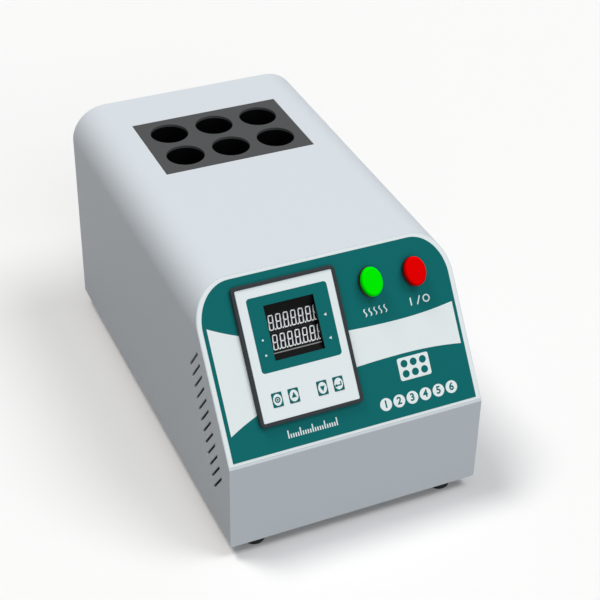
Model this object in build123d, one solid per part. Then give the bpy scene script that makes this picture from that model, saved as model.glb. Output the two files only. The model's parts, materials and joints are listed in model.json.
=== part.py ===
from build123d import *
from functools import partial
from math import atan2, cos, hypot, radians, sin, tan
import os

# A block digester for glass sample tubes: a folded steel body with a sloped control panel, and a heated
# aluminium block with six wells that opens through its top. Millimetres, +Z up, front towards -Y.
# The origin is the middle of the footprint, on the surface that the feet stand on.

# ---- Body: folded and painted sheet --------------------------------------------------------------
body_width = 240.0
body_depth = 418.0
body_height = 218.0         # without the feet
front_height = 88.0         # upright part of the front, from the underside to the fold
slope_depth = 92.0          # how far the sloped face leans back
edge_radius = 34.0          # the two long top edges
bend_radius = 3.0           # the bends along the bottom
fold_radius = 2.0           # the fold across the front
sheet = 1.5                 # cover, front panel, rear panel and tray
rear_recess = 4.0           # the rear panel stands this far inside the cover's rear edge
fit_gap = 0.3               # between sheets that slip inside each other
tab_reach = 12.0            # welded tabs and turned-in ears
tab_length = 45.0
tray_flange = 15.0
least_radius = 0.3          # where an inner bend would come out sharp
cut_past = 1.0              # how far a cut runs past a face

# ---- Vents ---------------------------------------------------------------------------------------
vent_count = 12
vent_length = 32.5
vent_width = 2.6
vent_tilt = 53.0            # each slot drops this many degrees towards the back
vent_pitch = 10.05
vent_row_angle = 62.4       # the row itself climbs towards the back
vent_first_back = 28.7      # lowest slot's centre, behind the front
vent_first_up = 51.6        # and above the underside
rear_vent_count = 14
rear_vent_pitch = 9.0
rear_vent_length = 46.0
rear_vent_width = 3.0
rear_vent_drop = 64.0       # centre of the rear slots, below the top
tray_vent_count = 8
tray_vent_pitch = 10.0
tray_vent_length = 60.0
tray_vent_width = 3.0
tray_vent_back = 60.0

# ---- Feet and fasteners --------------------------------------------------------------------------
foot_height = 12.0
foot_radius = 10.0
foot_from_side = 28.0
foot_from_end = 16.0
foot_recess = 5.0           # the screw head sits this deep in the rubber
foot_recess_gap = 1.0       # round the head
foot_softening = 0.8
lip_margin = 2.0            # the cover's bottom lip reaches this far past each foot
screw_radius = 2.0
screw_head_radius = 3.6
screw_head_height = 2.6
screw_gap = 0.1             # round a screw in its hole
nut_radius = 3.9
nut_height = 3.2

# ---- Heated block --------------------------------------------------------------------------------
block_width = 148.0
block_depth = 98.2
block_from_rear = 102.5     # block's centre to the rear edge
plate_thickness = 2.5
floor_plate = 12.0          # closes the bored block from below
floor_screw_inset = 6.0     # from the block's sides
floor_screw_depth = 10.0    # in the block
opening_gap = 0.5           # round the block's plate in the cover
well_radius = 18.2
well_depth = 102.5          # from the top of the plate
well_pitch_x = 46.0
well_pitch_y = 44.5
wells_across = 3
wells_deep = 2
heater_radius = 6.25
heater_length = 95.0
heater_tail = 5.0           # end of the heater that stands out below the block
heater_gap = 0.1
sensor_radius = 1.6
sensor_length = 60.0
cutout_radius = 8.0         # over-temperature switch under the block
cutout_height = 9.0
cutout_back = 22.0          # behind the block's centre

# ---- Insulation and the can round it -------------------------------------------------------------
jacket_wall = 20.0
jacket_gap = 0.4
base_board = 22.0
jacket_below_roof = 7.5     # top of the jacket, under the cover
seal_wall = 3.6
can_sheet = 1.0
pocket_gap = 1.0            # round heaters, sensor and switch in the base board
pillar_radius = 5.0
pillar_from_lip = 5.0       # pillars stand this far inside the cover's bottom lips
pillar_inset = 14.0         # and this far inside the can's front and rear
pillar_screw_depth = 9.0
shield_gap = 40.0           # from the can to the heat shield
shield_sheet = 1.0
shield_width = 200.0
shield_height = 176.0
shield_foot = 12.0
duct_width = 60.0           # wires pass through the shield here
duct_height = 30.0
duct_up = 12.0              # bottom of the duct above the tray

# ---- Printed film on the sloped face -------------------------------------------------------------
film_thickness = 0.5
film_side_margin = 4.5
film_bottom_margin = 5.0
film_top_margin = 2.6

# ---- Temperature controller, measured on the sloped face -----------------------------------------
controller_width = 96.0
controller_height = 121.0
controller_x = -38.0
controller_up = 87.9        # its centre, up the slope from the fold
controller_proud = 4.0      # above the film
bezel_radius = 4.5
bezel_rim = 3.4
bezel_ledge = 1.4
bezel_softening = 0.9
face_thickness = 2.0
face_gap = 0.1
case_step = 2.8             # the case is this much smaller than the bezel on each side
case_wall = 2.0
case_depth = 70.0
case_gap = 0.3              # round the case in the panel
window_width = 46.0
window_height = 47.5
window_x = 0.7              # from the controller's centre
window_up = 16.1
lining_wall = 0.8           # the mask's dark edge, which lines the face's window
mask_wall = 2.0
mask_depth = 3.4
mask_top_slant = 7.9
mask_bottom_slant = 5.9
display_width = 56.0
display_height = 15.5
display_depth = 5.5
display_pitch = 16.9
display_x = 5.0             # from the window's centre
board_thickness = 1.6
board_margin = 3.0
terminal_strip_width = 78.0
terminal_strip_height = 24.0
terminal_strip_depth = 9.0
clamp_width = 10.0
clamp_height = 24.0
clamp_length = 16.0
clamp_start = 8.0           # behind the sloped face
clamp_screw_length = 34.0

# ---- Controller keys -----------------------------------------------------------------------------
key_names = ("set_key", "up_key", "down_key", "enter_key")
key_width = 9.0
key_height = 12.0
key_corner = 1.0
key_gap = 0.3
key_proud = 0.4             # above the controller's face
key_flange = 0.8            # keeps the key behind the face
key_flange_height = 0.8
key_inner_x = 13.2
key_pitch = 15.1
key_drop = 39.8             # below the controller's centre
key_stem_radius = 2.2
key_travel = 0.5
key_rest_gap = 0.2          # left over below the key when it is pressed
switch_width = 6.0
switch_height = 4.0

# ---- Push buttons --------------------------------------------------------------------------------
heater_button_x = 39.6
power_button_x = 81.6
button_up = 126.0
button_travel = 2.4
cap_width = 19.8
cap_length = 26.0           # up the slope
cap_height = 5.2
cap_rise = 2.5              # underside of the cap above the collar
cap_softening = 2.2
cap_peg_radius = 4.5
cap_peg_length = 3.0
collar_rim = 0.5            # the collar stands this far out round the cap
collar_height = 1.5
collar_softening = 0.5
collar_bore_spare = 1.0     # left over below the stem's shoulder when it is pressed
barrel_radius = 9.0
barrel_depth = 28.0         # behind the sloped face
barrel_floor = 2.0
barrel_bore = 7.8
barrel_neck = 6.8
stem_gap = 0.3
stem_foot_height = 2.0
stem_foot_depth = 14.0      # rest depth of the stem's foot, behind the sloped face
plunger_radius = 3.0
plunger_reach = 1.5         # rest reach of the plunger past the barrel
panel_hole_gap = 0.2
ring_nut_radius = 12.0
ring_nut_height = 3.5
contact_width = 20.0
contact_height = 20.0
coil_radius = 5.6
coil_wire = 0.8
coil_turns = 4

# ---- Mains inlet with its fuse drawer, seen from behind -------------------------------------------
inlet_from_side = 70.0      # its middle, from the body's left side
inlet_up = 38.0             # above the underside
inlet_width = 28.0
inlet_height = 35.0
inlet_depth = 30.0          # behind the flange
inlet_flange_width = 50.0
inlet_flange_height = 38.0
inlet_flange = 2.5
inlet_corner = 4.0
inlet_screw_spacing = 40.0
inlet_gap = 0.4
socket_width = 24.4
socket_height = 16.9
socket_depth = 16.0
socket_up = 6.5             # from the inlet's centre
socket_corner = 3.5
pin_width = 4.0
pin_thickness = 2.0
pin_length = 10.5           # in the socket
pin_tail = 8.0              # behind the inlet's body
pin_spacing = 7.0
drawer_width = 20.0
drawer_height = 8.4
drawer_depth = 26.0
drawer_drop = 10.4          # below the inlet's centre
drawer_gap = 0.3
drawer_wall = 1.4
drawer_handle = 1.2         # lip that stands out past the flange
drawer_travel = 20.0
fuse_radius = 2.6
fuse_length = 20.0
fuse_gap = 0.2

# ---- Parts on the tray ---------------------------------------------------------------------------
sink_width = 64.0
sink_depth = 60.0
sink_base = 6.0
sink_fin_height = 20.0
sink_fin_thickness = 2.0
sink_fin_count = 7
sink_from_side = 58.0        # its middle, from the body's left side
sink_back = 100.0           # front edge of the heat sink, behind the body's front
relay_width = 45.0
relay_depth = 52.0
relay_height = 23.0
strip_width = 70.0
strip_depth = 26.0
strip_height = 20.0
strip_from_side = 75.0       # its middle, from the body's right side
strip_back = 130.0
strip_ways = 6
strip_screw_radius = 3.0
strip_screw_rise = 1.5
stud_x = 30.0
stud_height = 18.0
wire = 3.0
thin_wire = 2.0
bend_share = 0.45           # part of the shorter run that a wire's bend takes up

# ---- Worked out from the sizes above --------------------------------------------------------------
y_front = -body_depth / 2
y_rear = body_depth / 2
z_under = foot_height
z_top = foot_height + body_height
z_fold = z_under + front_height
lean = atan2(slope_depth, body_height - front_height)
slope_length = hypot(slope_depth, body_height - front_height)
inner_x = body_width / 2 - sheet
rear_inner = y_rear - rear_recess - sheet
rear_face = y_rear - rear_recess
tray_z = z_under + sheet
tray_top = tray_z + sheet
tray_x = inner_x - fit_gap
lip_x = body_width / 2 - foot_from_side - foot_radius - lip_margin
foot_x = body_width / 2 - foot_from_side
foot_y = body_depth / 2 - foot_from_end
foot_places = [(x, y) for y in (-foot_y, foot_y) for x in (-foot_x, foot_x)]
screw_hole = screw_radius + screw_gap

block_y = y_rear - block_from_rear
block_top = z_top - plate_thickness
bore_bottom = z_top - well_depth
block_bottom = bore_bottom - floor_plate
wells_x = [(i - (wells_across - 1) / 2) * well_pitch_x for i in range(wells_across)]
wells_y = [block_y + (j - (wells_deep - 1) / 2) * well_pitch_y for j in range(wells_deep)]
well_places = [(x, y) for y in wells_y for x in wells_x]
heater_places = [(x, block_y) for x in (-well_pitch_x / 2, well_pitch_x / 2)]
floor_screw_x = block_width / 2 - floor_screw_inset
floor_screw_y = block_depth / 2 - floor_screw_inset
floor_screw_places = [(x, block_y + y) for y in (-floor_screw_y, floor_screw_y) for x in (-floor_screw_x, floor_screw_x)]
board_bottom = block_bottom - base_board
seal_x = block_width / 2 + jacket_gap + seal_wall
top_radius = min(edge_radius, body_width / 2 - seal_x)    # so that the roof is flat over the seal
jacket_x = block_width / 2 + jacket_gap + jacket_wall
jacket_y = block_depth / 2 + jacket_gap + jacket_wall
jacket_top = z_top - sheet - jacket_below_roof
can_x = jacket_x + jacket_gap + can_sheet
can_y = jacket_y + jacket_gap + can_sheet
can_bottom = board_bottom - can_sheet
pillar_places = [
    (x, block_y + y)
    for y in (pillar_inset - can_y, can_y - pillar_inset)
    for x in (pillar_from_lip - lip_x, lip_x - pillar_from_lip)
]
shield_y = block_y - can_y - shield_gap
cutout_place = (0, block_y + cutout_back)

on_slope = Plane(origin=(0, y_front, z_fold), x_dir=(1, 0, 0), z_dir=(0, -cos(lean), sin(lean)))
on_controller = on_slope * Pos(controller_x, controller_up, 0)
bezel_step = film_thickness + bezel_ledge
bezel_top = film_thickness + controller_proud
face_width = controller_width - 2 * bezel_rim
face_height = controller_height - 2 * bezel_rim
face_top = bezel_step + face_thickness
case_width = controller_width - 2 * case_step
case_height = controller_height - 2 * case_step
mask_back = bezel_step - mask_depth
display_back = mask_back - display_depth
window_place = Pos(window_x, window_up, 0)
key_places = [(x, -key_drop) for x in (-key_inner_x - key_pitch, -key_inner_x, key_inner_x, key_inner_x + key_pitch)]
switch_top = display_back + switch_height

button_x = {"heater": heater_button_x, "power": power_button_x}
collar_top = film_thickness + collar_height
cap_bottom = collar_top + cap_rise
barrel_shoulder = stem_foot_height - stem_foot_depth
collar_bore_bottom = -button_travel - collar_bore_spare
stem_wide_bottom = collar_bore_bottom + button_travel + stem_gap

inlet_x = inlet_from_side - body_width / 2
inlet_z = z_under + inlet_up
flange_face = rear_face + inlet_flange
inlet_back = rear_face - inlet_depth
socket_floor = flange_face - socket_depth
pin_offsets = ((-pin_spacing, 0.0), (0.0, -pin_thickness), (pin_spacing, 0.0))
socket_z = inlet_z + socket_up
drawer_z = inlet_z - drawer_drop
drawer_back = flange_face - drawer_depth

sink_x = sink_from_side - body_width / 2
sink_y = y_front + sink_back + sink_depth / 2
sink_top = tray_top + sink_fin_height + sink_base
strip_x = body_width / 2 - strip_from_side
strip_y = y_front + strip_back
strip_pitch = strip_width / strip_ways
strip_ways_x = [strip_x + (i - (strip_ways - 1) / 2) * strip_pitch for i in range(strip_ways)]


# ---- Helpers --------------------------------------------------------------------------------------
def around(middle, width):
    """The low and high limit of a width about its middle."""
    return middle - width / 2, middle + width / 2


def brick(xs, ys, zs):
    """A plain block between a low and a high limit on each axis."""
    middle = [(low + high) / 2 for low, high in (xs, ys, zs)]
    return Pos(*middle) * Box(xs[1] - xs[0], ys[1] - ys[0], zs[1] - zs[0])


def rod(radius, low, high, x=0.0, y=0.0):
    """A round bar along Z."""
    return Pos(x, y, (low + high) / 2) * Cylinder(radius, high - low)


def slab(width, height, radius, low, high):
    """A plate with rounded corners, centred on Z."""
    return Pos(0, 0, low) * extrude(RectangleRounded(width, height, radius), amount=high - low)


def along_depth(face, low, high):
    """A cross-section drawn in X and Z, pulled out between two places along Y."""
    return extrude(Plane.XZ.offset(-high) * face, amount=high - low)


def outline(inset, top_inset=None, radius=None):
    """The body's cross-section, drawn in: square sides and bottom, two large rounded edges at the top."""
    top = z_top - (inset if top_inset is None else top_inset)
    bottom = z_under + inset
    face = Pos(0, (top + bottom) / 2) * Rectangle(body_width - 2 * inset, top - bottom)
    face = fillet(face.vertices().group_by(Axis.Y)[-1], radius or top_radius - inset)
    return fillet(face.vertices().group_by(Axis.Y)[0], max(bend_radius - inset, least_radius))


def behind_front(inset):
    """All the room behind the front's surface, drawn in: upright below the fold and sloped above it."""
    fold = (y_front + inset, z_fold - inset * tan(lean / 2))
    slope_top = y_front + slope_depth + inset / cos(lean)
    corners = [fold, (slope_top, z_top), (y_rear, z_top), (y_rear, z_under), (y_front + inset, z_under)]
    side = Polygon(*corners, align=None)
    corner = side.vertices().sort_by_distance((*fold, 0))[0]
    side = fillet(corner, max(fold_radius - inset, least_radius))
    return extrude(Plane.YZ * side, amount=body_width, both=True)


def screw(head_low, tip, x=0.0, y=0.0):
    """A pan-head screw along Z whose head starts at one height and whose tip is at the other."""
    up = 1 if tip > head_low else -1
    under_head = head_low + up * screw_head_height
    head = rod(screw_head_radius, min(head_low, under_head), max(head_low, under_head), x, y)
    return head + rod(screw_radius, min(under_head, tip), max(under_head, tip), x, y)


def along_y(shape, x, y, z):
    """A shape made about Z, laid so that its Z points to the rear, at a place."""
    return Pos(x, y, z) * Rot(-90, 0, 0) * shape


def lead(points, thickness):
    """A round wire through the points: straight runs joined by arcs as large as the runs allow."""
    spots = [Vector(*point) for point in points]
    runs = [end - start for start, end in zip(spots, spots[1:])]
    radii = [
        bend_share * min(before.length, after.length) / tan(radians(before.get_angle(after) / 2))
        for before, after in zip(runs, runs[1:])
    ]
    path = FilletPolyline(*spots, radius=radii)
    return sweep(Plane(origin=spots[0], z_dir=runs[0]) * Circle(thickness / 2), path=path)


def slope_point(x, up, out):
    """A point given on the sloped face: across, up the slope and out from it."""
    return tuple(on_slope.from_local_coords(Vector(x, up, out)))


def panel_cutouts():
    """What is cut from the front panel and its film: the controller's opening and the two button holes."""
    reach = tab_reach + 2 * sheet
    cuts = [on_controller * slab(case_width + 2 * case_gap, case_height + 2 * case_gap, case_wall, -reach, reach)]
    for x in button_x.values():
        cuts.append(on_slope * rod(barrel_radius + panel_hole_gap, -reach, reach, x, button_up))
    return cuts


# ---- Body -----------------------------------------------------------------------------------------
def rear_screw_places():
    """Two screws into the tray's rear flange and four into the cover's turned-in ears."""
    low = [(x, tray_top + tray_flange / 2) for x in (-foot_x, foot_x)]
    ear_x = inner_x - tab_reach / 2
    return low + [(x, z) for z in ear_heights() for x in (-ear_x, ear_x)]


def ear_heights():
    """Middles of the ears at the cover's rear, spread between the tray and the rounded top edges."""
    low = tray_top + tray_flange + tab_length
    high = z_top - top_radius - tab_length / 2
    return low, high


def make_wrap_cover():
    mouth = Pos(0, z_under) * Rectangle(2 * lip_x, 3 * sheet)
    cover = along_depth(outline(0) - outline(sheet) - mouth, y_front, y_rear) & behind_front(sheet)
    width, depth = block_width + 2 * opening_gap, block_depth + 2 * opening_gap
    cover -= brick(around(0, width), around(block_y, depth), around(z_top, 4 * sheet))
    row = radians(vent_row_angle)
    for i in range(vent_count):
        y = y_front + vent_first_back + i * vent_pitch * cos(row)
        z = z_under + vent_first_up + i * vent_pitch * sin(row)
        slot = Pos(y, z) * SlotOverall(vent_length, vent_width, rotation=-vent_tilt)
        cover -= extrude(Plane.YZ * slot, amount=body_width, both=True)
    for x, y in foot_places:
        cover -= rod(screw_hole, z_under - sheet, z_under + 2 * sheet, x, y)
    for side in (-1, 1):
        xs = sorted((side * inner_x, side * (inner_x - tab_reach)))
        for z in ear_heights():
            ear = brick(xs, (rear_inner - sheet, rear_inner), around(z, tab_length))
            hole = along_y(rod(screw_radius, -2 * sheet, 2 * sheet), side * (inner_x - tab_reach / 2), rear_inner, z)
            cover += ear - hole
    return cover


def make_front_panel():
    """Folded sheet with the body's full outline, a bottom lip and tabs welded inside the cover."""
    reach = y_front + slope_depth + 2 * sheet / cos(lean)
    panel = (along_depth(outline(0), y_front, reach) & behind_front(0)) - behind_front(sheet)
    inside = y_front + sheet
    lip = brick(around(0, 2 * (lip_x - fit_gap)), (inside, inside + tab_reach), (z_under, z_under + sheet))
    tabs = [lip]
    for side in (-1, 1):
        xs = sorted((side * inner_x, side * (inner_x - sheet)))
        z = (z_under + z_fold) / 2
        tabs.append(brick(xs, (inside, inside + tab_reach), around(z, min(tab_length, front_height / 2))))
    roof = z_top - sheet
    slope_top = y_front + slope_depth
    top_tab = brick(around(0, 2 * tab_length), around(slope_top, 2 * tab_reach), (roof - sheet, roof))
    tabs.append(top_tab & behind_front(sheet))
    for tab in tabs:
        panel += tab
    return panel - panel_cutouts()


def make_front_label():
    """Printed film: square bottom corners, and top corners that follow the body's rounded edges."""
    shape = outline(film_side_margin, film_top_margin, top_radius - film_top_margin)
    film = along_depth(shape, y_front - tab_reach, y_front + slope_depth + tab_reach)
    film &= on_slope * brick(around(0, body_width), (film_bottom_margin, slope_length), (0, film_thickness))
    return film - panel_cutouts()


def make_rear_panel():
    panel = along_depth(outline(sheet + fit_gap), rear_inner, rear_face)
    for i in range(rear_vent_count):
        x = (i - (rear_vent_count - 1) / 2) * rear_vent_pitch
        slot = Pos(x, z_top - rear_vent_drop) * SlotOverall(rear_vent_length, rear_vent_width, rotation=90)
        panel -= along_depth(slot, rear_inner - sheet, y_rear)
    opening = Pos(inlet_x, inlet_z) * Rectangle(inlet_width + 2 * inlet_gap, inlet_height + 2 * inlet_gap)
    panel -= along_depth(opening, rear_inner - sheet, y_rear)
    for x, z in rear_screw_places():
        panel -= along_y(rod(screw_hole, -2 * sheet, 2 * sheet), x, rear_face, z)
    for x in around(inlet_x, inlet_screw_spacing):
        panel -= along_y(rod(screw_hole, -2 * sheet, 2 * sheet), x, rear_face, inlet_z)
    return panel


def make_base_tray():
    front = y_front + sheet
    flange_top = tray_top + tray_flange
    tray = brick((-tray_x, tray_x), (front, rear_inner), (tray_z, tray_top))
    for ys in ((front, front + sheet), (rear_inner - sheet, rear_inner)):
        tray += brick((-tray_x, tray_x), ys, (tray_z, flange_top))
    for side in (-1, 1):
        xs = sorted((side * tray_x, side * (tray_x - sheet)))
        tray += brick(xs, (front, rear_inner), (tray_z, flange_top))
    tray &= along_depth(outline(sheet), front, rear_inner)
    for x, y in foot_places + pillar_places:
        tray -= rod(screw_hole, z_under, tray_top + sheet, x, y)
    for i in range(tray_vent_count):
        y = y_front + tray_vent_back + (i - (tray_vent_count - 1) / 2) * tray_vent_pitch
        slot = Pos(strip_x / 2, y) * SlotOverall(tray_vent_length, tray_vent_width)
        tray -= extrude(Pos(0, 0, z_under) * slot, amount=4 * sheet)
    for x, z in rear_screw_places()[:2]:
        tray -= along_y(rod(screw_radius, -3 * sheet, sheet), x, rear_inner, z)
    tray -= rod(screw_radius, z_under, tray_top + sheet, stud_x, shield_y + shield_gap / 2)
    return tray


def make_feet():
    feet = []
    for x, y in foot_places:
        foot = rod(foot_radius, 0, foot_height, x, y)
        foot = chamfer(foot.edges().filter_by(GeomType.CIRCLE).group_by(Axis.Z)[0], foot_softening)
        foot -= rod(screw_hole, 0, foot_height, x, y)
        foot -= rod(screw_head_radius + foot_recess_gap, 0, foot_recess, x, y)
        feet.append(foot)
    return feet


def make_foot_fasteners():
    """A screw up through each foot, lip and tray, with its nut on the tray."""
    pieces = []
    for x, y in foot_places:
        tip = tray_top + nut_height + sheet
        pieces.append(screw(foot_recess - screw_head_height, tip, x, y))
        nut = Pos(x, y, tray_top) * extrude(RegularPolygon(nut_radius, 6), amount=nut_height)
        pieces.append(nut - rod(screw_radius, tray_top, tip, x, y))
    return pieces


def make_rear_screws():
    length = rear_recess + tab_reach / 2
    one = rod(screw_head_radius, 0, screw_head_height) + rod(screw_radius - screw_gap / 2, -length, 0)
    return [along_y(one, x, rear_face, z) for x, z in rear_screw_places()]


# ---- Heated block and its insulation --------------------------------------------------------------
def make_top_plate():
    plate = brick(around(0, block_width), around(block_y, block_depth), (block_top, z_top))
    return plate - [rod(well_radius, block_top - cut_past, z_top + cut_past, x, y) for x, y in well_places]


def make_heating_block():
    """Bored right through for the wells, and from below for the heaters, the sensor and four screws."""
    low = bore_bottom - cut_past
    block = brick(around(0, block_width), around(block_y, block_depth), (bore_bottom, block_top))
    block -= [rod(well_radius, low, block_top + cut_past, x, y) for x, y in well_places]
    heater_top = block_bottom - heater_tail + heater_length + heater_gap
    block -= [rod(heater_radius + heater_gap, low, heater_top, x, y) for x, y in heater_places]
    block -= [rod(screw_radius, low, bore_bottom + floor_screw_depth, x, y) for x, y in floor_screw_places]
    return block - rod(sensor_radius + heater_gap, low, block_bottom + sensor_length, 0, block_y)


def make_block_floor():
    """Plate screwed under the block, which gives the wells their flat floors."""
    zs = (block_bottom, bore_bottom)
    plate = brick(around(0, block_width), around(block_y, block_depth), zs)
    plate -= [rod(heater_radius + heater_gap, *zs, x, y) for x, y in heater_places]
    plate -= rod(sensor_radius + heater_gap, *zs, 0, block_y)
    sunk = block_bottom + screw_head_height + screw_gap
    for x, y in floor_screw_places:
        plate -= rod(screw_hole, *zs, x, y)
        plate -= rod(screw_head_radius + screw_gap, block_bottom, sunk, x, y)
    return plate


def make_floor_screws():
    tip = bore_bottom + floor_screw_depth - cut_past
    thread = screw_radius - screw_gap / 2
    pieces = []
    for x, y in floor_screw_places:
        head = rod(screw_head_radius, block_bottom, block_bottom + screw_head_height, x, y)
        pieces.append(head + rod(thread, block_bottom + screw_head_height, tip, x, y))
    return pieces


def make_cartridge_heaters():
    low = block_bottom - heater_tail
    return [rod(heater_radius, low, low + heater_length, x, y) for x, y in heater_places]


def make_block_sensor():
    low = block_bottom - heater_tail
    return rod(sensor_radius, low, block_bottom + sensor_length, 0, block_y)


def make_thermal_cutout():
    """A round snap switch held against the block's underside, with two blades."""
    x, y = cutout_place
    switch = rod(cutout_radius, block_bottom - cutout_height, block_bottom, x, y)
    for side in (-1, 1):
        blade = brick(
            around(x + side * cutout_radius / 2, pin_thickness / 2),
            around(y, pin_width),
            (block_bottom - cutout_height - pin_tail, block_bottom - cutout_height),
        )
        switch += blade
    return switch


def make_insulation_jacket():
    zs = (block_bottom, jacket_top)
    inner_x_half, inner_y_half = jacket_x - jacket_wall, jacket_y - jacket_wall
    jacket = brick((-jacket_x, jacket_x), (block_y - jacket_y, block_y + jacket_y), zs)
    return jacket - brick((-inner_x_half, inner_x_half), (block_y - inner_y_half, block_y + inner_y_half), zs)


def base_holes(radius_step, low, high):
    """The ways down for heaters, sensor and switch, through the base board or the can's floor."""
    holes = [rod(heater_radius + radius_step, low, high, x, y) for x, y in heater_places]
    holes.append(rod(sensor_radius + radius_step, low, high, 0, block_y))
    holes.append(rod(cutout_radius + radius_step, low, high, *cutout_place))
    return holes


def make_insulation_base():
    board = brick((-jacket_x, jacket_x), (block_y - jacket_y, block_y + jacket_y), (board_bottom, block_bottom))
    return board - base_holes(pocket_gap, board_bottom, block_bottom)


def make_block_seal():
    """Felt strip round the block, between the jacket and the cover's roof."""
    zs = (jacket_top, z_top - sheet)
    half_x, half_y = seal_x - seal_wall, block_depth / 2 + jacket_gap
    outer = brick((-seal_x, seal_x), around(block_y, 2 * (half_y + seal_wall)), zs)
    return outer - brick((-half_x, half_x), around(block_y, 2 * half_y), zs)


def make_inner_can():
    outer = brick((-can_x, can_x), (block_y - can_y, block_y + can_y), (can_bottom, jacket_top))
    room_x, room_y = can_x - can_sheet, can_y - can_sheet
    can = outer - brick((-room_x, room_x), (block_y - room_y, block_y + room_y), (board_bottom, jacket_top))
    can -= base_holes(pocket_gap, can_bottom, board_bottom)
    return can - [rod(screw_hole, can_bottom, board_bottom, x, y) for x, y in pillar_places]


def make_can_pillars():
    pillars = []
    for x, y in pillar_places:
        pillar = Pos(x, y, tray_top) * extrude(RegularPolygon(pillar_radius, 6), amount=can_bottom - tray_top)
        pillar -= rod(screw_radius, tray_top, tray_top + pillar_screw_depth, x, y)
        pillars.append(pillar - rod(screw_radius, can_bottom - pillar_screw_depth, can_bottom, x, y))
    return pillars


def make_pillar_screws():
    """One screw up through the tray and one down through the can's floor, into each pillar."""
    thread = screw_radius - screw_gap / 2
    pieces = []
    for x, y in pillar_places:
        low_head = rod(screw_head_radius, tray_z - screw_head_height / 2, tray_z, x, y)
        pieces.append(low_head + rod(thread, tray_z, tray_top + pillar_screw_depth - cut_past, x, y))
        top_head = rod(thread, can_bottom, board_bottom, x, y)
        pieces.append(top_head + rod(thread, can_bottom - pillar_screw_depth + cut_past, can_bottom, x, y))
    return pieces


def make_heat_shield():
    """Upright sheet between the hot can and the electronics, with a foot on the tray and a wire duct."""
    ys = (shield_y, shield_y + shield_sheet)
    shield = brick(around(0, shield_width), ys, (tray_top, tray_top + shield_height))
    shield += brick(around(0, shield_width), (shield_y - shield_foot, shield_y), (tray_top, tray_top + shield_sheet))
    duct_low = tray_top + duct_up
    return shield - brick(around(0, duct_width), ys, (duct_low, duct_low + duct_height))


def make_duct_edging():
    """Soft edging clipped round the duct, so that the wires don't chafe."""
    duct_low = tray_top + duct_up
    edge = 3 * shield_sheet
    ys = (shield_y - shield_sheet, shield_y + 2 * shield_sheet)
    outer = brick(around(0, duct_width + edge), ys, (duct_low - edge / 2, duct_low + duct_height + edge / 2))
    outer -= brick(around(0, duct_width - edge), ys, (duct_low + edge / 2, duct_low + duct_height - edge / 2))
    return outer - make_heat_shield()


# ---- Electronics on the tray ----------------------------------------------------------------------
def make_relay_heat_sink():
    ys = around(sink_y, sink_depth)
    sink = brick(around(sink_x, sink_width), ys, (sink_top - sink_base, sink_top))
    step = (sink_width - sink_fin_thickness) / (sink_fin_count - 1)
    for i in range(sink_fin_count):
        x = sink_x + (i - (sink_fin_count - 1) / 2) * step
        sink += brick(around(x, sink_fin_thickness), ys, (tray_top, sink_top - sink_base))
    return sink


def make_solid_state_relay():
    relay = brick(around(sink_x, relay_width), around(sink_y, relay_depth), (sink_top, sink_top + relay_height))
    top = sink_top + relay_height
    for x in around(sink_x, relay_width / 2):
        for y in around(sink_y, relay_depth - 4 * strip_screw_radius):
            relay += rod(strip_screw_radius, top, top + strip_screw_rise, x, y)
    return relay


def make_terminal_block():
    strip = brick(around(strip_x, strip_width), around(strip_y, strip_depth), (tray_top, tray_top + strip_height))
    for x in strip_ways_x:
        strip -= rod(strip_screw_radius, tray_top + strip_height / 2, tray_top + strip_height, x, strip_y)
    return strip


def make_terminal_screws():
    low, high = tray_top + strip_height / 2, tray_top + strip_height - strip_screw_rise
    radius = strip_screw_radius - screw_gap
    return [rod(radius, low, high, x, strip_y) for x in strip_ways_x]


def make_earth_stud():
    """A stud up through the tray behind the heat shield, with a nut."""
    x, y = stud_x, shield_y + shield_gap / 2
    stud = rod(screw_radius - screw_gap / 2, tray_z, tray_top + stud_height, x, y)
    return stud + Pos(x, y, tray_top) * extrude(RegularPolygon(nut_radius, 6), amount=nut_height)


def make_power_leads():
    """Insulated wires of the mains and heater circuits, all led to the rear of the terminal block."""
    entry_y = strip_y + strip_depth / 2
    entry_z = tray_top + strip_height / 4
    duct_z = tray_top + duct_up + duct_height / 2
    duct_step = duct_width / (strip_ways + 3)
    ends = [(inlet_x + x, inlet_back - pin_tail, socket_z + z) for x, z in pin_offsets]
    drop = block_bottom - heater_tail
    ends += [(x + side * heater_radius / 2, y, drop) for x, y in heater_places for side in (-1, 1)]
    order = sorted(range(len(ends)), key=lambda i: ends[i][0])
    leads = []
    for rank, i in enumerate(order[:strip_ways]):
        x, y, z = ends[i]
        duct_x = (rank - (strip_ways - 1) / 2) * duct_step
        high = duct_z + (rank % 2 - 0.5) * 2 * wire
        start = [(x, y, z), (x, y - 3 * pin_tail, z)]
        if y == block_y:
            start = [(x, y, z), (x, y, (z + high) / 2 + 2 * wire)]
        points = start + [
            (duct_x, shield_y + shield_gap, high),
            (duct_x, shield_y - 4 * wire, high),
            (strip_ways_x[rank], entry_y + 6 * wire, entry_z),
            (strip_ways_x[rank], entry_y, entry_z),
        ]
        leads.append(lead(points, wire))
    return leads


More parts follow.
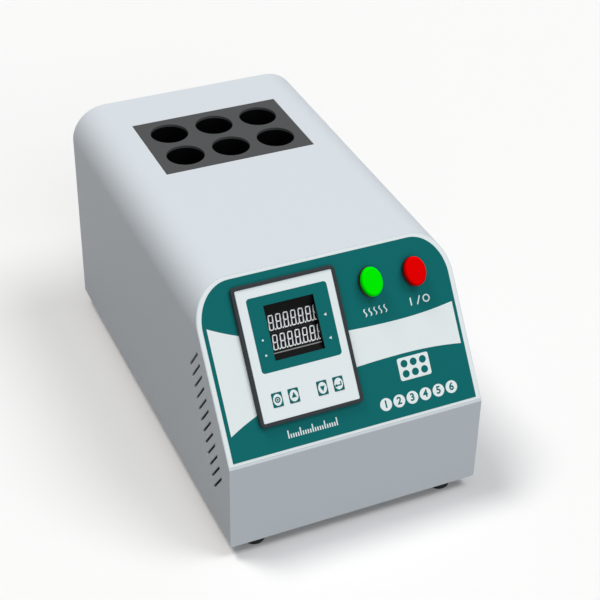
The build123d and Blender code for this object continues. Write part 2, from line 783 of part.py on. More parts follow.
def make_signal_leads():
    """Thin wires: block sensor and relay control to the controller, and one to each button."""
    behind = case_depth + terminal_strip_depth
    bend = 8 * wire
    sensor_x, duct_high = controller_x + terminal_strip_width / 4, tray_top + duct_up + duct_height - 2 * wire
    sensor = [
        (0, block_y, block_bottom - heater_tail),
        (0, block_y, board_bottom - bend),
        (0, shield_y + shield_gap / 2, duct_high),
        (0, shield_y - bend / 2, duct_high),
        slope_point(sensor_x, controller_up, -behind - bend),
        slope_point(sensor_x, controller_up, -behind),
    ]
    leads = [lead(sensor, thin_wire)]
    relay_top = sink_top + relay_height + strip_screw_rise
    relay_y = around(sink_y, relay_depth - 4 * strip_screw_radius)[1]
    for x, from_x in zip(around(sink_x, relay_width / 2), around(controller_x - wire, terminal_strip_width / 3)):
        points = [
            slope_point(from_x, controller_up, -behind),
            slope_point(from_x, controller_up, -behind - 2 * bend / 3),
            (x, relay_y, relay_top + bend),
            (x, relay_y, relay_top),
        ]
        leads.append(lead(points, thin_wire))
    entry_y = strip_y - strip_depth / 2
    for x, way_x in zip(button_x.values(), (strip_ways_x[1], strip_ways_x[-2])):
        behind = barrel_depth + contact_height
        points = [
            slope_point(x, button_up, -behind),
            slope_point(x, button_up, -behind - bend),
            (way_x, entry_y - bend, tray_top + strip_height + bend),
            (way_x, entry_y - bend / 2, tray_top + strip_height / 4),
            (way_x, entry_y, tray_top + strip_height / 4),
        ]
        leads.append(lead(points, thin_wire))
    return leads


# ---- Controller -----------------------------------------------------------------------------------
def make_controller_bezel():
    bezel = slab(controller_width, controller_height, bezel_radius, film_thickness, bezel_top)
    bezel = fillet(bezel.faces().sort_by(Axis.Z)[-1].edges(), bezel_softening)
    bezel -= slab(case_width - 2 * case_wall, case_height - 2 * case_wall, case_wall, film_thickness, bezel_step)
    return on_controller * (bezel - slab(face_width, face_height, bezel_radius / 4, bezel_step, bezel_top))


def make_controller_face():
    face = slab(face_width - 2 * face_gap, face_height - 2 * face_gap, bezel_radius / 4, bezel_step, face_top)
    edge = 2 * (lining_wall + face_gap)
    opening = brick(around(0, window_width + edge), around(0, window_height + edge), (bezel_step, face_top))
    face -= window_place * opening
    for x, y in key_places:
        opening = slab(key_width + 2 * key_gap, key_height + 2 * key_gap, key_corner, bezel_step, face_top)
        face -= Pos(x, y, 0) * opening
    return on_controller * face


def make_display_mask():
    """Frame behind the face's window, with upright sides and a slanted band above and below the digits."""
    outer_width, outer_height = window_width + 2 * mask_wall, window_height + 2 * mask_wall
    mask = brick(around(0, outer_width), around(0, outer_height), (mask_back, bezel_step))
    edge = 2 * lining_wall
    mask += brick(around(0, window_width + edge), around(0, window_height + edge), (bezel_step, face_top))
    mask -= brick(around(0, window_width), around(0, window_height), (bezel_step, face_top))
    low, high = -window_height / 2, window_height / 2
    slants = [
        (low, bezel_step),
        (high, bezel_step),
        (high - mask_top_slant, mask_back),
        (low + mask_bottom_slant, mask_back),
    ]
    opening = extrude(Plane.YZ * Polygon(*slants, align=None), amount=window_width / 2, both=True)
    return on_controller * (window_place * (mask - opening))


def make_digit_displays():
    """Two rows of lamps behind the mask, one above the other."""
    middle = (mask_bottom_slant - mask_top_slant) / 2
    rows = []
    for up in around(middle, display_pitch):
        row = brick(around(display_x, display_width), around(up, display_height), (display_back, mask_back))
        rows.append(on_controller * (window_place * row))
    return rows


def make_controller_board():
    width = case_width - 2 * case_wall - 2 * board_margin
    height = case_height - 2 * case_wall - 2 * board_margin
    board = brick(around(0, width), around(0, height), (display_back - board_thickness, display_back))
    return on_controller * board


def make_key_switches():
    zs = (display_back, switch_top)
    return [on_controller * brick(around(x, switch_width), around(y, switch_width), zs) for x, y in key_places]


def make_key(x, y):
    """A key that stands a little out of the face, kept in by its flange, with a stem over its switch."""
    flange_top = bezel_step
    flange_bottom = flange_top - key_flange_height
    key = slab(key_width, key_height, key_corner, flange_bottom, face_top + key_proud)
    key = fillet(key.faces().sort_by(Axis.Z)[-1].edges(), key_proud / 2)
    wide = 2 * (key_gap + key_flange)
    key += slab(key_width + wide, key_height + wide, key_corner, flange_bottom, flange_top)
    key += rod(key_stem_radius, switch_top + key_travel + key_rest_gap, flange_bottom)
    return on_controller * (Pos(x, y, 0) * key)


def make_controller_case():
    """Deep box behind the panel, open to the face and closed at the back."""
    case = slab(case_width, case_height, case_wall, -case_depth, film_thickness)
    room = slab(
        case_width - 2 * case_wall, case_height - 2 * case_wall, case_wall / 2, case_wall - case_depth, film_thickness
    )
    return on_controller * (case - room)


def make_controller_terminals():
    zs = (-case_depth - terminal_strip_depth, -case_depth)
    return on_controller * brick(around(0, terminal_strip_width), around(0, terminal_strip_height), zs)


def clamp_places():
    """Middles of the two side clamps, across the controller."""
    reach = (case_width + clamp_width) / 2
    return -reach, reach


def make_controller_clamps():
    zs = (-clamp_start - clamp_length, -clamp_start)
    clamps = []
    for x in clamp_places():
        clamp = brick(around(x, clamp_width), around(0, clamp_height), zs)
        clamps.append(on_controller * (clamp - rod(screw_hole, *zs, x)))
    return clamps


def make_clamp_screws():
    """Screws through the clamps that press on the back of the panel."""
    return [on_controller * screw(-clamp_screw_length, -sheet, x) for x in clamp_places()]


# ---- Push buttons ---------------------------------------------------------------------------------
def on_button(name):
    """Where a button stands: its axis is square to the sloped face."""
    return on_slope * Pos(button_x[name], button_up, 0)


def make_cap(name):
    """Oval coloured cap, softened at its rim, that fits over the stem's peg."""
    cap = Pos(0, 0, cap_bottom) * extrude(Ellipse(cap_width / 2, cap_length / 2), amount=cap_height)
    cap = fillet(cap.edges().group_by(Axis.Z)[-1], cap_softening)
    cap = fillet(cap.edges().group_by(Axis.Z)[0], cap_softening / 3)
    cap -= rod(cap_peg_radius + screw_gap, cap_bottom, cap_bottom + cap_peg_length + screw_gap)
    return on_button(name) * cap


def make_stem(name):
    """Stem under the cap: wide in the collar, narrow in the barrel's neck, with a foot that stops it."""
    stem = rod(barrel_bore - stem_gap, stem_wide_bottom, cap_bottom)
    stem += rod(cap_peg_radius, cap_bottom, cap_bottom + cap_peg_length)
    stem += rod(barrel_neck - stem_gap, -stem_foot_depth, stem_wide_bottom)
    stem += rod(barrel_bore - stem_gap, -stem_foot_depth, barrel_shoulder)
    stem += rod(plunger_radius, -barrel_depth - plunger_reach, -stem_foot_depth)
    return on_button(name) * stem


def make_barrel(name):
    """Oval collar on the film and round barrel behind it, bored in steps for the stem."""
    oval = Ellipse(cap_width / 2 + collar_rim, cap_length / 2 + collar_rim)
    collar = Pos(0, 0, film_thickness) * extrude(oval, amount=collar_height)
    collar = fillet(collar.edges().group_by(Axis.Z)[-1], collar_softening)
    barrel = collar + rod(barrel_radius, -barrel_depth, film_thickness)
    barrel -= rod(barrel_bore, collar_bore_bottom, collar_top)
    barrel -= rod(barrel_neck, barrel_shoulder, collar_bore_bottom)
    barrel -= rod(barrel_bore, barrel_floor - barrel_depth, barrel_shoulder)
    barrel -= rod(plunger_radius + stem_gap, -barrel_depth, barrel_floor - barrel_depth)
    return on_button(name) * barrel


def make_button_nuts():
    nuts = []
    for name in button_x:
        nut = extrude(RegularPolygon(ring_nut_radius, 6), amount=ring_nut_height)
        nut = Pos(0, 0, -sheet - ring_nut_height) * nut
        nuts.append(on_button(name) * (nut - rod(barrel_radius + screw_gap / 2, -sheet - ring_nut_height, -sheet)))
    return nuts


def make_button_contacts():
    """A switch block behind each barrel, with a pocket for the plunger."""
    pocket = plunger_reach + button_travel + stem_gap
    blocks = []
    for name in button_x:
        zs = (-barrel_depth - contact_height, -barrel_depth)
        block = brick(around(0, contact_width), around(0, contact_width), zs)
        blocks.append(on_button(name) * (block - rod(plunger_radius + stem_gap, zs[1] - pocket, zs[1])))
    return blocks


def make_button_springs():
    """Return springs at their pressed length, standing on the barrels' floors round the plungers."""
    floor = barrel_floor - barrel_depth
    room = barrel_depth - barrel_floor - stem_foot_depth - button_travel - stem_gap
    coil = Helix(pitch=(room - coil_wire) / coil_turns, height=room - coil_wire, radius=coil_radius)
    spring = sweep(Plane(origin=coil @ 0, z_dir=coil % 0) * Circle(coil_wire / 2), path=coil)
    return [on_button(name) * (Pos(0, 0, floor + coil_wire / 2) * spring) for name in button_x]


# ---- Mains inlet ----------------------------------------------------------------------------------
def inlet_face(shape, up=0.0):
    """A face drawn for the inlet, moved to its place on the rear panel."""
    return Pos(inlet_x, inlet_z + up) * shape


def pin_solids(grow):
    """The three flat pins, made larger all round to cut their holes."""
    pins = []
    for x, z in pin_offsets:
        xs = around(inlet_x + x, pin_thickness + 2 * grow)
        zs = around(socket_z + z, pin_width + 2 * grow)
        pins.append(brick(xs, (inlet_back - pin_tail, socket_floor + pin_length), zs))
    return pins


def make_mains_inlet():
    """Flanged socket with a pocket for the fuse drawer below it."""
    body = along_depth(inlet_face(Rectangle(inlet_width, inlet_height)), inlet_back, rear_face)
    flange = RectangleRounded(inlet_flange_width, inlet_flange_height, inlet_corner)
    body += along_depth(inlet_face(flange), rear_face, flange_face)
    socket = Rectangle(socket_width, socket_height)
    socket = chamfer(socket.vertices().group_by(Axis.Y)[-1], socket_corner)
    body -= along_depth(inlet_face(socket, socket_up), socket_floor, flange_face)
    pocket = Rectangle(drawer_width + 2 * drawer_gap, drawer_height + 2 * drawer_gap)
    body -= along_depth(inlet_face(pocket, -drawer_drop), drawer_back - drawer_gap, flange_face)
    for x in around(inlet_x, inlet_screw_spacing):
        body -= along_y(rod(screw_hole, -inlet_flange, inlet_flange), x, rear_face, inlet_z)
    return body - pin_solids(screw_gap / 2)


def make_inlet_pins():
    return pin_solids(0)


def make_inlet_screws():
    """Low-headed screws through the flange and rear panel, with nuts behind."""
    head_top = inlet_flange + drawer_handle
    pieces = []
    for x in around(inlet_x, inlet_screw_spacing):
        one = rod(screw_head_radius, inlet_flange, head_top)
        one += rod(screw_radius, -sheet - nut_height - sheet, inlet_flange)
        nut = Pos(0, 0, -sheet - nut_height) * extrude(RegularPolygon(nut_radius, 6), amount=nut_height)
        pieces.append(along_y(one, x, rear_face, inlet_z))
        pieces.append(along_y(nut - rod(screw_radius, -sheet - nut_height, -sheet), x, rear_face, inlet_z))
    return pieces


def make_fuse_drawer():
    """Shallow drawer with a lip to pull it by, open above the fuse."""
    ys = (drawer_back, flange_face)
    drawer = brick(around(inlet_x, drawer_width), ys, around(drawer_z, drawer_height))
    lip = 2 * (drawer_gap + drawer_handle)
    lip_ys = (flange_face, flange_face + drawer_handle)
    drawer += brick(around(inlet_x, drawer_width + lip), lip_ys, around(drawer_z, drawer_height + lip / 2))
    cavity_ys = (drawer_back + drawer_wall, drawer_back + drawer_wall + fuse_length + 2 * fuse_gap)
    cavity_zs = (drawer_z - drawer_height / 2 + drawer_wall, drawer_z + drawer_height)
    return drawer - brick(around(inlet_x, 2 * (fuse_radius + fuse_gap)), cavity_ys, cavity_zs)


def make_fuse():
    """Glass tube with a metal cap at each end."""
    cap = fuse_length / 4
    fuse = rod(fuse_radius, 0, cap) + rod(fuse_radius, fuse_length - cap, fuse_length)
    fuse += rod(fuse_radius - fuse_gap, cap, fuse_length - cap)
    z = drawer_z - drawer_height / 2 + drawer_wall + fuse_radius
    return along_y(fuse, inlet_x, drawer_back + drawer_wall + fuse_gap, z)


nodes = {
    "wrap_cover": make_wrap_cover,
    "front_panel": make_front_panel,
    "front_label": make_front_label,
    "rear_panel": make_rear_panel,
    "base_tray": make_base_tray,
    "rubber_feet": make_feet,
    "foot_fasteners": make_foot_fasteners,
    "rear_screws": make_rear_screws,
    "top_plate": make_top_plate,
    "heating_block": make_heating_block,
    "block_floor": make_block_floor,
    "floor_screws": make_floor_screws,
    "cartridge_heaters": make_cartridge_heaters,
    "block_sensor": make_block_sensor,
    "thermal_cutout": make_thermal_cutout,
    "insulation_jacket": make_insulation_jacket,
    "insulation_base": make_insulation_base,
    "block_seal": make_block_seal,
    "inner_can": make_inner_can,
    "can_pillars": make_can_pillars,
    "pillar_screws": make_pillar_screws,
    "heat_shield": make_heat_shield,
    "duct_edging": make_duct_edging,
    "relay_heat_sink": make_relay_heat_sink,
    "solid_state_relay": make_solid_state_relay,
    "terminal_block": make_terminal_block,
    "terminal_screws": make_terminal_screws,
    "earth_stud": make_earth_stud,
    "power_leads": make_power_leads,
    "signal_leads": make_signal_leads,
    "controller_bezel": make_controller_bezel,
    "controller_face": make_controller_face,
    "display_mask": make_display_mask,
    "digit_displays": make_digit_displays,
    "controller_board": make_controller_board,
    "key_switches": make_key_switches,
    "controller_case": make_controller_case,
    "controller_terminals": make_controller_terminals,
    "controller_clamps": make_controller_clamps,
    "clamp_screws": make_clamp_screws,
    "button_nuts": make_button_nuts,
    "button_contacts": make_button_contacts,
    "button_springs": make_button_springs,
    "mains_inlet": make_mains_inlet,
    "inlet_pins": make_inlet_pins,
    "inlet_screws": make_inlet_screws,
    "fuse_drawer": make_fuse_drawer,
    "fuse": make_fuse,
}
for key_name, key_place in zip(key_names, key_places):
    nodes[key_name] = partial(make_key, *key_place)
for button in button_x:
    nodes[f"{button}_button_cap"] = partial(make_cap, button)
    nodes[f"{button}_button_stem"] = partial(make_stem, button)
    nodes[f"{button}_button_barrel"] = partial(make_barrel, button)

if __name__ == "__main__":
    os.makedirs("parts", exist_ok=True)
    for name, make in nodes.items():
        made = make()
        if isinstance(made, list):
            made = Compound(children=[solid for piece in made for solid in piece.solids()])
        export_step(made, f"parts/{name}.step")
        print(name, len(made.solids()))
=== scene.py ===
import json
from math import atan2, cos, pi, radians, sin, sqrt

import bmesh
import bpy
from bpy.props import FloatProperty, FloatVectorProperty, IntProperty, PointerProperty
from mathutils import Matrix, Vector


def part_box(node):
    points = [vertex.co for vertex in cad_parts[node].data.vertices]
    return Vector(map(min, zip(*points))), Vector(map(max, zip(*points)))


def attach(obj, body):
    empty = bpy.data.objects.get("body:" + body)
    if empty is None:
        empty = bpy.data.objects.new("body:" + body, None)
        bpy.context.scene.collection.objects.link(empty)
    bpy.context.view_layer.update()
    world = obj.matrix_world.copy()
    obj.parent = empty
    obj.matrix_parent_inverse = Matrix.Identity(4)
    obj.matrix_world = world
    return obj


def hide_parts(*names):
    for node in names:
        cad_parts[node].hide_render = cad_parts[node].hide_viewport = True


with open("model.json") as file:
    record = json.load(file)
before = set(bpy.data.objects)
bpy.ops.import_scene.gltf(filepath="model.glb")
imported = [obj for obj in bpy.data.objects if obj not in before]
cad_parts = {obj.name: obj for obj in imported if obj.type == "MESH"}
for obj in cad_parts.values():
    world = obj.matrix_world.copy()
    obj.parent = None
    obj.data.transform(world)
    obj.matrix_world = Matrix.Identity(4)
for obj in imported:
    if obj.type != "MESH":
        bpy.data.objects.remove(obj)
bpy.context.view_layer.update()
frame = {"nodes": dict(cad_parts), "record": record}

bl_info = {
    "name": "Block digester",
    "version": (1, 0, 0),
    "blender": (4, 5, 0),
    "location": "View3D > Sidebar > Digester",
    "description": "Prints, digits, screws, finishes and studio for a six-well block digester",
    "category": "Object",
}

MM = 0.001
CORNER_GAP = 0.001 * MM  # corners nearer than this are one corner
ROOT = "housing"
KEYS = ("set_key", "up_key", "down_key", "enter_key")
TRIANGLE, HEXAGON, SMALL_ROUND, DOT_ROUND, ROUND = 3, 6, 16, 20, 40  # corners of a disc
QUARTER_TURN = Matrix.Rotation(pi / 2, 4, "Z")
FACTOR, COLOUR_A, COLOUR_B, COLOUR_RESULT = 0, 6, 7, 2  # a Mix node's sockets, where it mixes colours
COOL, WARM = (0.97, 1.0, 1.02), (1.02, 1.0, 0.98)  # tints of the lamps


# ---- Values and properties ---------------------------------------------------
def linear(hex_text):
    """An sRGB hex value as linear red, green, blue and full alpha."""
    channels = [int(hex_text[i:i + 2], 16) / 255 for i in (0, 2, 4)]
    return tuple(c / 12.92 if c <= 0.04045 else ((c + 0.055) / 1.055) ** 2.4 for c in channels) + (1.0,)


def length(name, millimetres, description):
    """A length property, written in millimetres and kept in metres."""
    return FloatProperty(
        name=name, description=description, default=millimetres * MM, precision=5, unit="LENGTH"
    )


def lengths(name, millimetres, description):
    """Two or more lengths, written in millimetres and kept in metres."""
    return FloatVectorProperty(
        name=name, description=description, default=[value * MM for value in millimetres],
        size=len(millimetres), precision=5, unit="LENGTH",
    )


def angle(name, degrees, description):
    """An angle property, written in degrees and kept in radians."""
    return FloatProperty(name=name, description=description, default=radians(degrees), unit="ROTATION")


def count(name, number, description):
    """How many there are of a thing."""
    return IntProperty(name=name, description=description, default=number, min=1)


def colour(name, hex_text, description):
    """A colour property, written as an sRGB hex value and kept linear."""
    return FloatVectorProperty(
        name=name, description=description, default=linear(hex_text), size=4, subtype="COLOR"
    )


def towards(name, vector, description):
    """A lamp's property: the vector points at the lamp, and its length is the light that it gives."""
    return FloatVectorProperty(name=name, description=description, default=vector, subtype="XYZ")


class PanelSizes(bpy.types.PropertyGroup):
    """The sloped face and the prints on its film."""

    front_height: length("Front height", 88.0, "Upright part of the front, up to the fold")
    slope_depth: length("Slope depth", 92.0, "How far the sloped face leans back")
    print_thickness: length("Print", 0.06, "Thickness of a printed layer")
    border_side: length("Border side", 0.7, "White border's outer edge, inside the body's sides")
    border_low: length("Border low", 2.7, "White border's lower edge, above the fold")
    border_top: length("Border top", 0.6, "White border's upper edge, below the top")
    edge_radius: length("Edge radius", 34.0, "Radius of the body's two top edges")
    film_side: length("Film side", 4.5, "Film's edge inside the body's sides")
    film_top: length("Film top", 2.6, "Film's upper edge below the top")
    stripe_middle: length("Stripe middle", 73.5, "Middle of the white stripe, above the fold")
    stripe_narrow: length("Stripe narrow", 14.8, "Half width of the stripe at its waist")
    stripe_waist: length("Stripe waist", 58.0, "Place of the stripe's waist, across the panel")
    stripe_left: length("Stripe left", -112.0, "Left end of the stripe")
    stripe_right: length("Stripe right", 112.5, "Right end of the stripe")
    left_flare: length("Left flare", 16.53, "Even growth of the half width, over the left reach")
    left_curl: length("Left curl", 14.67, "Late growth of the half width, over the left reach")
    left_reach: length("Left reach", 169.5, "From the waist to where the left growth is measured")
    right_flare: length("Right flare", 4.0, "Growth of the half width, over the right reach")
    right_reach: length("Right reach", 53.5, "From the waist to where the right growth is measured")
    stripe_steps: count("Stripe steps", 24, "Straight lengths in each curved edge of the stripe")
    corner_steps: count("Corner steps", 16, "Straight lengths in each round corner of the film")


class ControllerSizes(bpy.types.PropertyGroup):
    """Prints, digits and key marks of the temperature controller."""

    window_x: length("Window across", 0.7, "Window's middle from the controller's")
    window_up: length("Window up", 16.1, "Window's middle above the controller's")
    window_width: length("Window width", 46.0, "Opening of the display window")
    window_height: length("Window height", 47.5, "Opening of the display window")
    field_width: length("Field width", 74.0, "Printed field round the window")
    field_height: length("Field height", 64.5, "Printed field round the window")
    field_corner: length("Field corner", 3.0, "Corner radius of the printed field")
    digit_width: length("Digit width", 3.75, "Between the middles of a digit's upright strokes")
    digit_height: length("Digit height", 12.2, "Between the middles of its top and bottom strokes")
    digit_stroke: length("Digit stroke", 1.25, "Width of a stroke")
    digit_pitch: length("Digit pitch", 6.9, "From digit to digit")
    digit_inset: length("Digit inset", 5.3, "First digit's middle from the display's end")
    digit_rise: length("Digit rise", 0.5, "Digits' middle above the display's")
    digit_lean: angle("Digit lean", 5, "Slant of the digits")
    digit_count: count("Digits", 7, "Digits in a row")
    stroke_gap: length("Stroke gap", 0.1, "Between the tips of two strokes")
    point_radius: length("Point radius", 0.75, "Decimal point")
    point_offset: length("Point offset", 1.625, "Decimal point's middle from the digit's right strokes")
    row_height: length("Row height", 15.5, "Height of a display's row")
    dot_radius: length("Dot radius", 0.9, "Dots left of the window")
    dot_drops: lengths("Dots", (4.4, 17.5), "Dots' places below the window's middle")
    arrow_radius: length("Arrow radius", 1.6, "Triangles right of the window")
    arrow_drops: lengths("Arrows", (-4.3, 16.2), "Triangles' places below the window's middle")
    # The ledge's pale grey is a painted highlight: light caught on the lower inside wall of the
    # display's recess.
    ledge_height: length("Ledge height", 0.9, "Pale ledge under the digits, as high as it is deep")
    ledge_drop: length("Ledge drop", 17.9, "Ledge's middle below the window's")
    oval_width: length("Oval width", 7.8, "White oval on a key")
    oval_height: length("Oval height", 10.0, "White oval on a key")
    mark_size: length("Mark", 5.2, "Symbol on a key")
    mark_line: length("Mark line", 1.144, "Width of the lines in a key's symbol")
    mark_dot: length("Mark dot", 0.9152, "Radius of the dot in the ring")
    mark_height: length("Mark height", 6.5, "Height of the ovals that the up and down arrows fill")
    return_rise: length("Return rise", 3.12, "Upright line of the return arrow")
    return_middle: length("Return middle", 0.26, "Middle of that line, above the key's")
    return_drop: length("Return drop", 1.3, "Level line of the return arrow, below the key's middle")
    return_head: length("Return head", 5.2 / 3, "Radius of the return arrow's head")


class SymbolSizes(bpy.types.PropertyGroup):
    """White symbols printed on the film, measured on the sloped face."""

    line: length("Line", 1.15, "Width of a drawn line")
    below_button: length("Below button", 25.3, "Symbol's middle below a push button's")
    heat_width: length("Heat width", 24.0, "Row of wavy lines under the heater button")
    switch_width: length("Switch width", 22.0, "Bar and ring under the power button")
    height: length("Symbol height", 7.0, "Height of the symbols under the buttons")
    wave: length("Wave", 0.91, "How far a wavy line swings to each side")
    wave_count: count("Waves", 5, "Wavy lines")
    wave_steps: count("Wave steps", 16, "Straight lengths in a wavy line")
    slash_length: length("Slash length", 8.05, "Slanted stroke between bar and ring")
    slash_tilt: angle("Slash tilt", 65, "Slanted stroke, from level")
    scale_x: length("Scale across", -40.0, "Middle of the tick marks under the controller")
    scale_up: length("Scale up", 16.9, "Middle of the tick marks, above the fold")
    scale_width: length("Scale width", 45.0, "Row of tick marks")
    tick_count: count("Ticks", 21, "Tick marks")
    tick_group: count("Tick group", 5, "A long tick mark comes after this many")
    short_tick: length("Short tick", 3.5, "Height of the short tick marks")
    plan_x: length("Plan across", 63.9, "Middle of the plan of the wells")
    plan_up: length("Plan up", 45.2, "Middle of the plan of the wells, above the fold")
    plan_width: length("Plan width", 30.0, "Plan of the wells")
    plan_height: length("Plan height", 20.0, "Plan of the wells")
    plan_corner: length("Plan corner", 2.0, "Corner radius of the plan")
    plan_well: length("Plan well", 3.3, "Radius of a well on the plan")
    plan_pitch: length("Plan pitch", 9.0, "From well to well on the plan")
    wells_across: count("Wells across", 3, "Wells in a row")
    wells_deep: count("Wells deep", 2, "Rows of wells")
    badges_x: length("Badges across", 62.2, "Middle of the row of well numbers")
    badges_up: length("Badges up", 19.4, "Middle of the row of well numbers, above the fold")
    badge_pitch: length("Badge pitch", 12.8, "From badge to badge")
    badge_radius: length("Badge radius", 5.6, "Radius of a badge")
    number_size: length("Number size", 9.0, "Height of the numbers' line")
    number_weight: length("Number weight", 0.27, "Added to each side of the numbers' strokes")


class ScrewSizes(bpy.types.PropertyGroup):
    """Cross-recessed pan-head screws at the rear and under the feet."""

    softening: length("Softening", 0.9, "Rounding of a head's rim")
    rim_steps: count("Rim steps", 4, "Straight lengths in the rounding")
    sharp: angle("Sharp", 60, "Edges that turn by more than this are rounded")
    head_reach: length("Head reach", 10.0, "Farther apart than this, two corners are on two heads")
    recess_length: length("Recess length", 4.0, "Arm to arm of the cross")
    recess_width: length("Recess width", 1.0, "Width of an arm")
    recess_depth: length("Recess depth", 1.5, "Depth of the cross")
    cross_turn: angle("Cross turn", 37, "From one screw's cross to the next one's")


class FinishColours(bpy.types.PropertyGroup):
    """What the surfaces are coloured."""

    paint: colour("Paint", "DADFE3", "Powder coat of the body")
    white_print: colour("White print", "EFF5F4", "White ink on the film")
    teal: colour("Teal", "0A6C6C", "Ink of the film, the window's field and the keys")
    bezel: colour("Bezel", "393D40", "Controller's bezel")
    face: colour("Face", "EEF4F4", "Controller's face")
    red: colour("Red", "F00202", "Power button")
    green: colour("Green", "02F802", "Heater button")
    plate: colour("Plate", "565656", "Plate round the wells")
    # Painted shade: the wells' inside is coloured near black for the shade deep in the bores.
    well: colour("Well", "040405", "Inside of the wells")
    digit: colour("Digit", "ECEEEE", "Strokes of the digits")


class StageSettings(bpy.types.PropertyGroup):
    """Camera and light."""

    place: FloatVectorProperty(
        name="Camera place", description="Where the camera stands",
        default=(-0.46422, -1.09851, 0.95465), unit="LENGTH", subtype="TRANSLATION",
    )
    azimuth: angle("Azimuth", -24.52, "Round the object")
    elevation: angle("Elevation", 35.45, "Above the level")
    roll: angle("Roll", 1.09, "About the view")
    focal: FloatProperty(name="Lens", description="Focal length in millimetres", default=91.63)
    sensor: FloatProperty(name="Sensor", description="Sensor's width in millimetres", default=36.0)
    front_light: towards("Front light", (0.0, -0.345, 0.12), "Lights the front")
    left_light: towards("Left light", (-0.135, 0.125, 0.415), "Lights the left side, from behind")
    right_light: towards("Right light", (0.14, -0.08, 0.28), "Throws the soft shadow to the left")
    front_spread: angle("Front spread", 60, "Apparent width of the front light")
    left_spread: angle("Left spread", 20, "Apparent width of the left light")
    right_spread: angle("Right spread", 28, "Apparent width of the right light")
    sky: FloatProperty(name="Sky", description="Level of the light from all round", default=0.22)
    sky_tint: colour("Sky tint", "F0F7FF", "Colour of the light from all round")
    floor_shown: colour("Floor shown", "FAF8F6", "Floor as it is seen")
    floor_thrown: colour("Floor thrown", "606060", "Floor as it lights the object")
    floor_radius: length("Floor radius", 40000.0, "Reach of the floor")
    floor_corners: count("Floor corners", 64, "Corners of the floor's disc")
    near: length("Near", 10.0, "Nearest that the camera sees")
    far: length("Far", 200000.0, "Farthest that the camera sees")


# ---- The sloped face, from the frame -----------------------------------------
def panel():
    """The sloped face's own axes: across, up the slope and out of it, from the middle of the fold."""
    sizes = bpy.context.scene.digester_panel
    low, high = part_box("front_panel")
    fold = low.z + sizes.front_height
    lean = atan2(sizes.slope_depth, high.z - fold)
    up, out = Vector((0, sin(lean), cos(lean))), Vector((0, -cos(lean), sin(lean)))
    turn = Matrix((Vector((1, 0, 0)), up, out)).transposed().to_4x4()
    return Matrix.Translation((0, low.y, fold)) @ turn


def on_panel(across, up, out):
    """The matrix that lays a flat shape on the sloped face."""
    return panel() @ Matrix.Translation((across, up, out))


def span(node):
    """Lowest and highest place of a CAD node, measured across, up and out of the sloped face."""
    back = panel().inverted()
    spots = [back @ vertex.co for vertex in frame["nodes"][node].data.vertices]
    return Vector(map(min, *spots)), Vector(map(max, *spots))


def middle(node):
    """Middle of a CAD node across and up the sloped face, and its outermost place."""
    low, high = span(node)
    return (low.x + high.x) / 2, (low.y + high.y) / 2, high.z


# ---- Shapes ------------------------------------------------------------------
def board(width, height, radius=0.0, segments=6, top_only=False):
    """A flat rectangle about its middle, with rounded corners."""
    bm = bmesh.new()
    bmesh.ops.create_grid(bm, x_segments=1, y_segments=1, size=0.5)
    bmesh.ops.scale(bm, vec=(width, height, 1), verts=bm.verts)
    corners = [v for v in bm.verts if v.co.y > 0 or not top_only]
    if radius:
        bmesh.ops.bevel(
            bm, geom=corners, offset=radius, segments=segments, profile=0.5, affect="VERTICES",
            material=-1,
        )
    return bm


def disc(radius, segments=ROUND, height=None):
    """A flat disc, or an oval where its height is given too."""
    bm = bmesh.new()
    bmesh.ops.create_circle(bm, cap_ends=True, radius=radius, segments=segments)
    bmesh.ops.scale(bm, vec=(1, (height or 2 * radius) / (2 * radius), 1), verts=bm.verts)
    return bm


def gathered(parts):
    """One bmesh of several, each moved by its matrix first."""
    whole = bmesh.new()
    for part, place in parts:
        part.transform(place)
        mesh = bpy.data.meshes.new("part")
        part.to_mesh(mesh)
        part.free()
        whole.from_mesh(mesh)
        bpy.data.meshes.remove(mesh)
    return whole


def moved(across, up, out=0.0):
    """A plain shift."""
    return Matrix.Translation((across, up, out))


def row(number, pitch):
    """Places of some things in a row, about its middle."""
    return [(i - (number - 1) / 2) * pitch for i in range(number)]


def ringed(outer, inner):
    """What lies between the edges of two flat shapes."""
    bm = gathered([(outer, Matrix()), (inner, Matrix())])
    bmesh.ops.delete(bm, geom=bm.faces[:], context="FACES_ONLY")
    bmesh.ops.bridge_loops(bm, edges=bm.edges[:])
    return bm


def thick(bm, height):
    """A flat shape given a thickness, towards +Z."""
    made = bmesh.ops.extrude_face_region(bm, geom=bm.faces[:])
    tops = [item for item in made["geom"] if isinstance(item, bmesh.types.BMVert)]
    bmesh.ops.translate(bm, vec=(0, 0, height), verts=tops)
    bmesh.ops.recalc_face_normals(bm, faces=bm.faces[:])
    return bm


def line(width, thickness, wave=0.0, waves=0.0, steps=1):
    """A straight or wavy line about its middle, along X."""
    bm = bmesh.new()
    bmesh.ops.create_grid(bm, x_segments=steps, y_segments=1, size=0.5)
    bmesh.ops.scale(bm, vec=(width, thickness, 1), verts=bm.verts)
    for vertex in bm.verts:
        vertex.co.y += wave * sin(2 * pi * waves * vertex.co.x / width)
    return bm


def piece(bm, name, finish, body=ROOT, place=None):
    """Makes a bmesh a piece of the object: placed in its mesh, finished and riding on a body."""
    if place is not None:
        bm.transform(place)
    for face in bm.faces:
        face.smooth = False
    mesh = bpy.data.meshes.new(name)
    bm.to_mesh(mesh)
    bm.free()
    made = bpy.data.objects.new(name, mesh)
    bpy.context.scene.collection.objects.link(made)
    mesh.materials.append(bpy.data.materials[finish])
    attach(made, body)
    return made


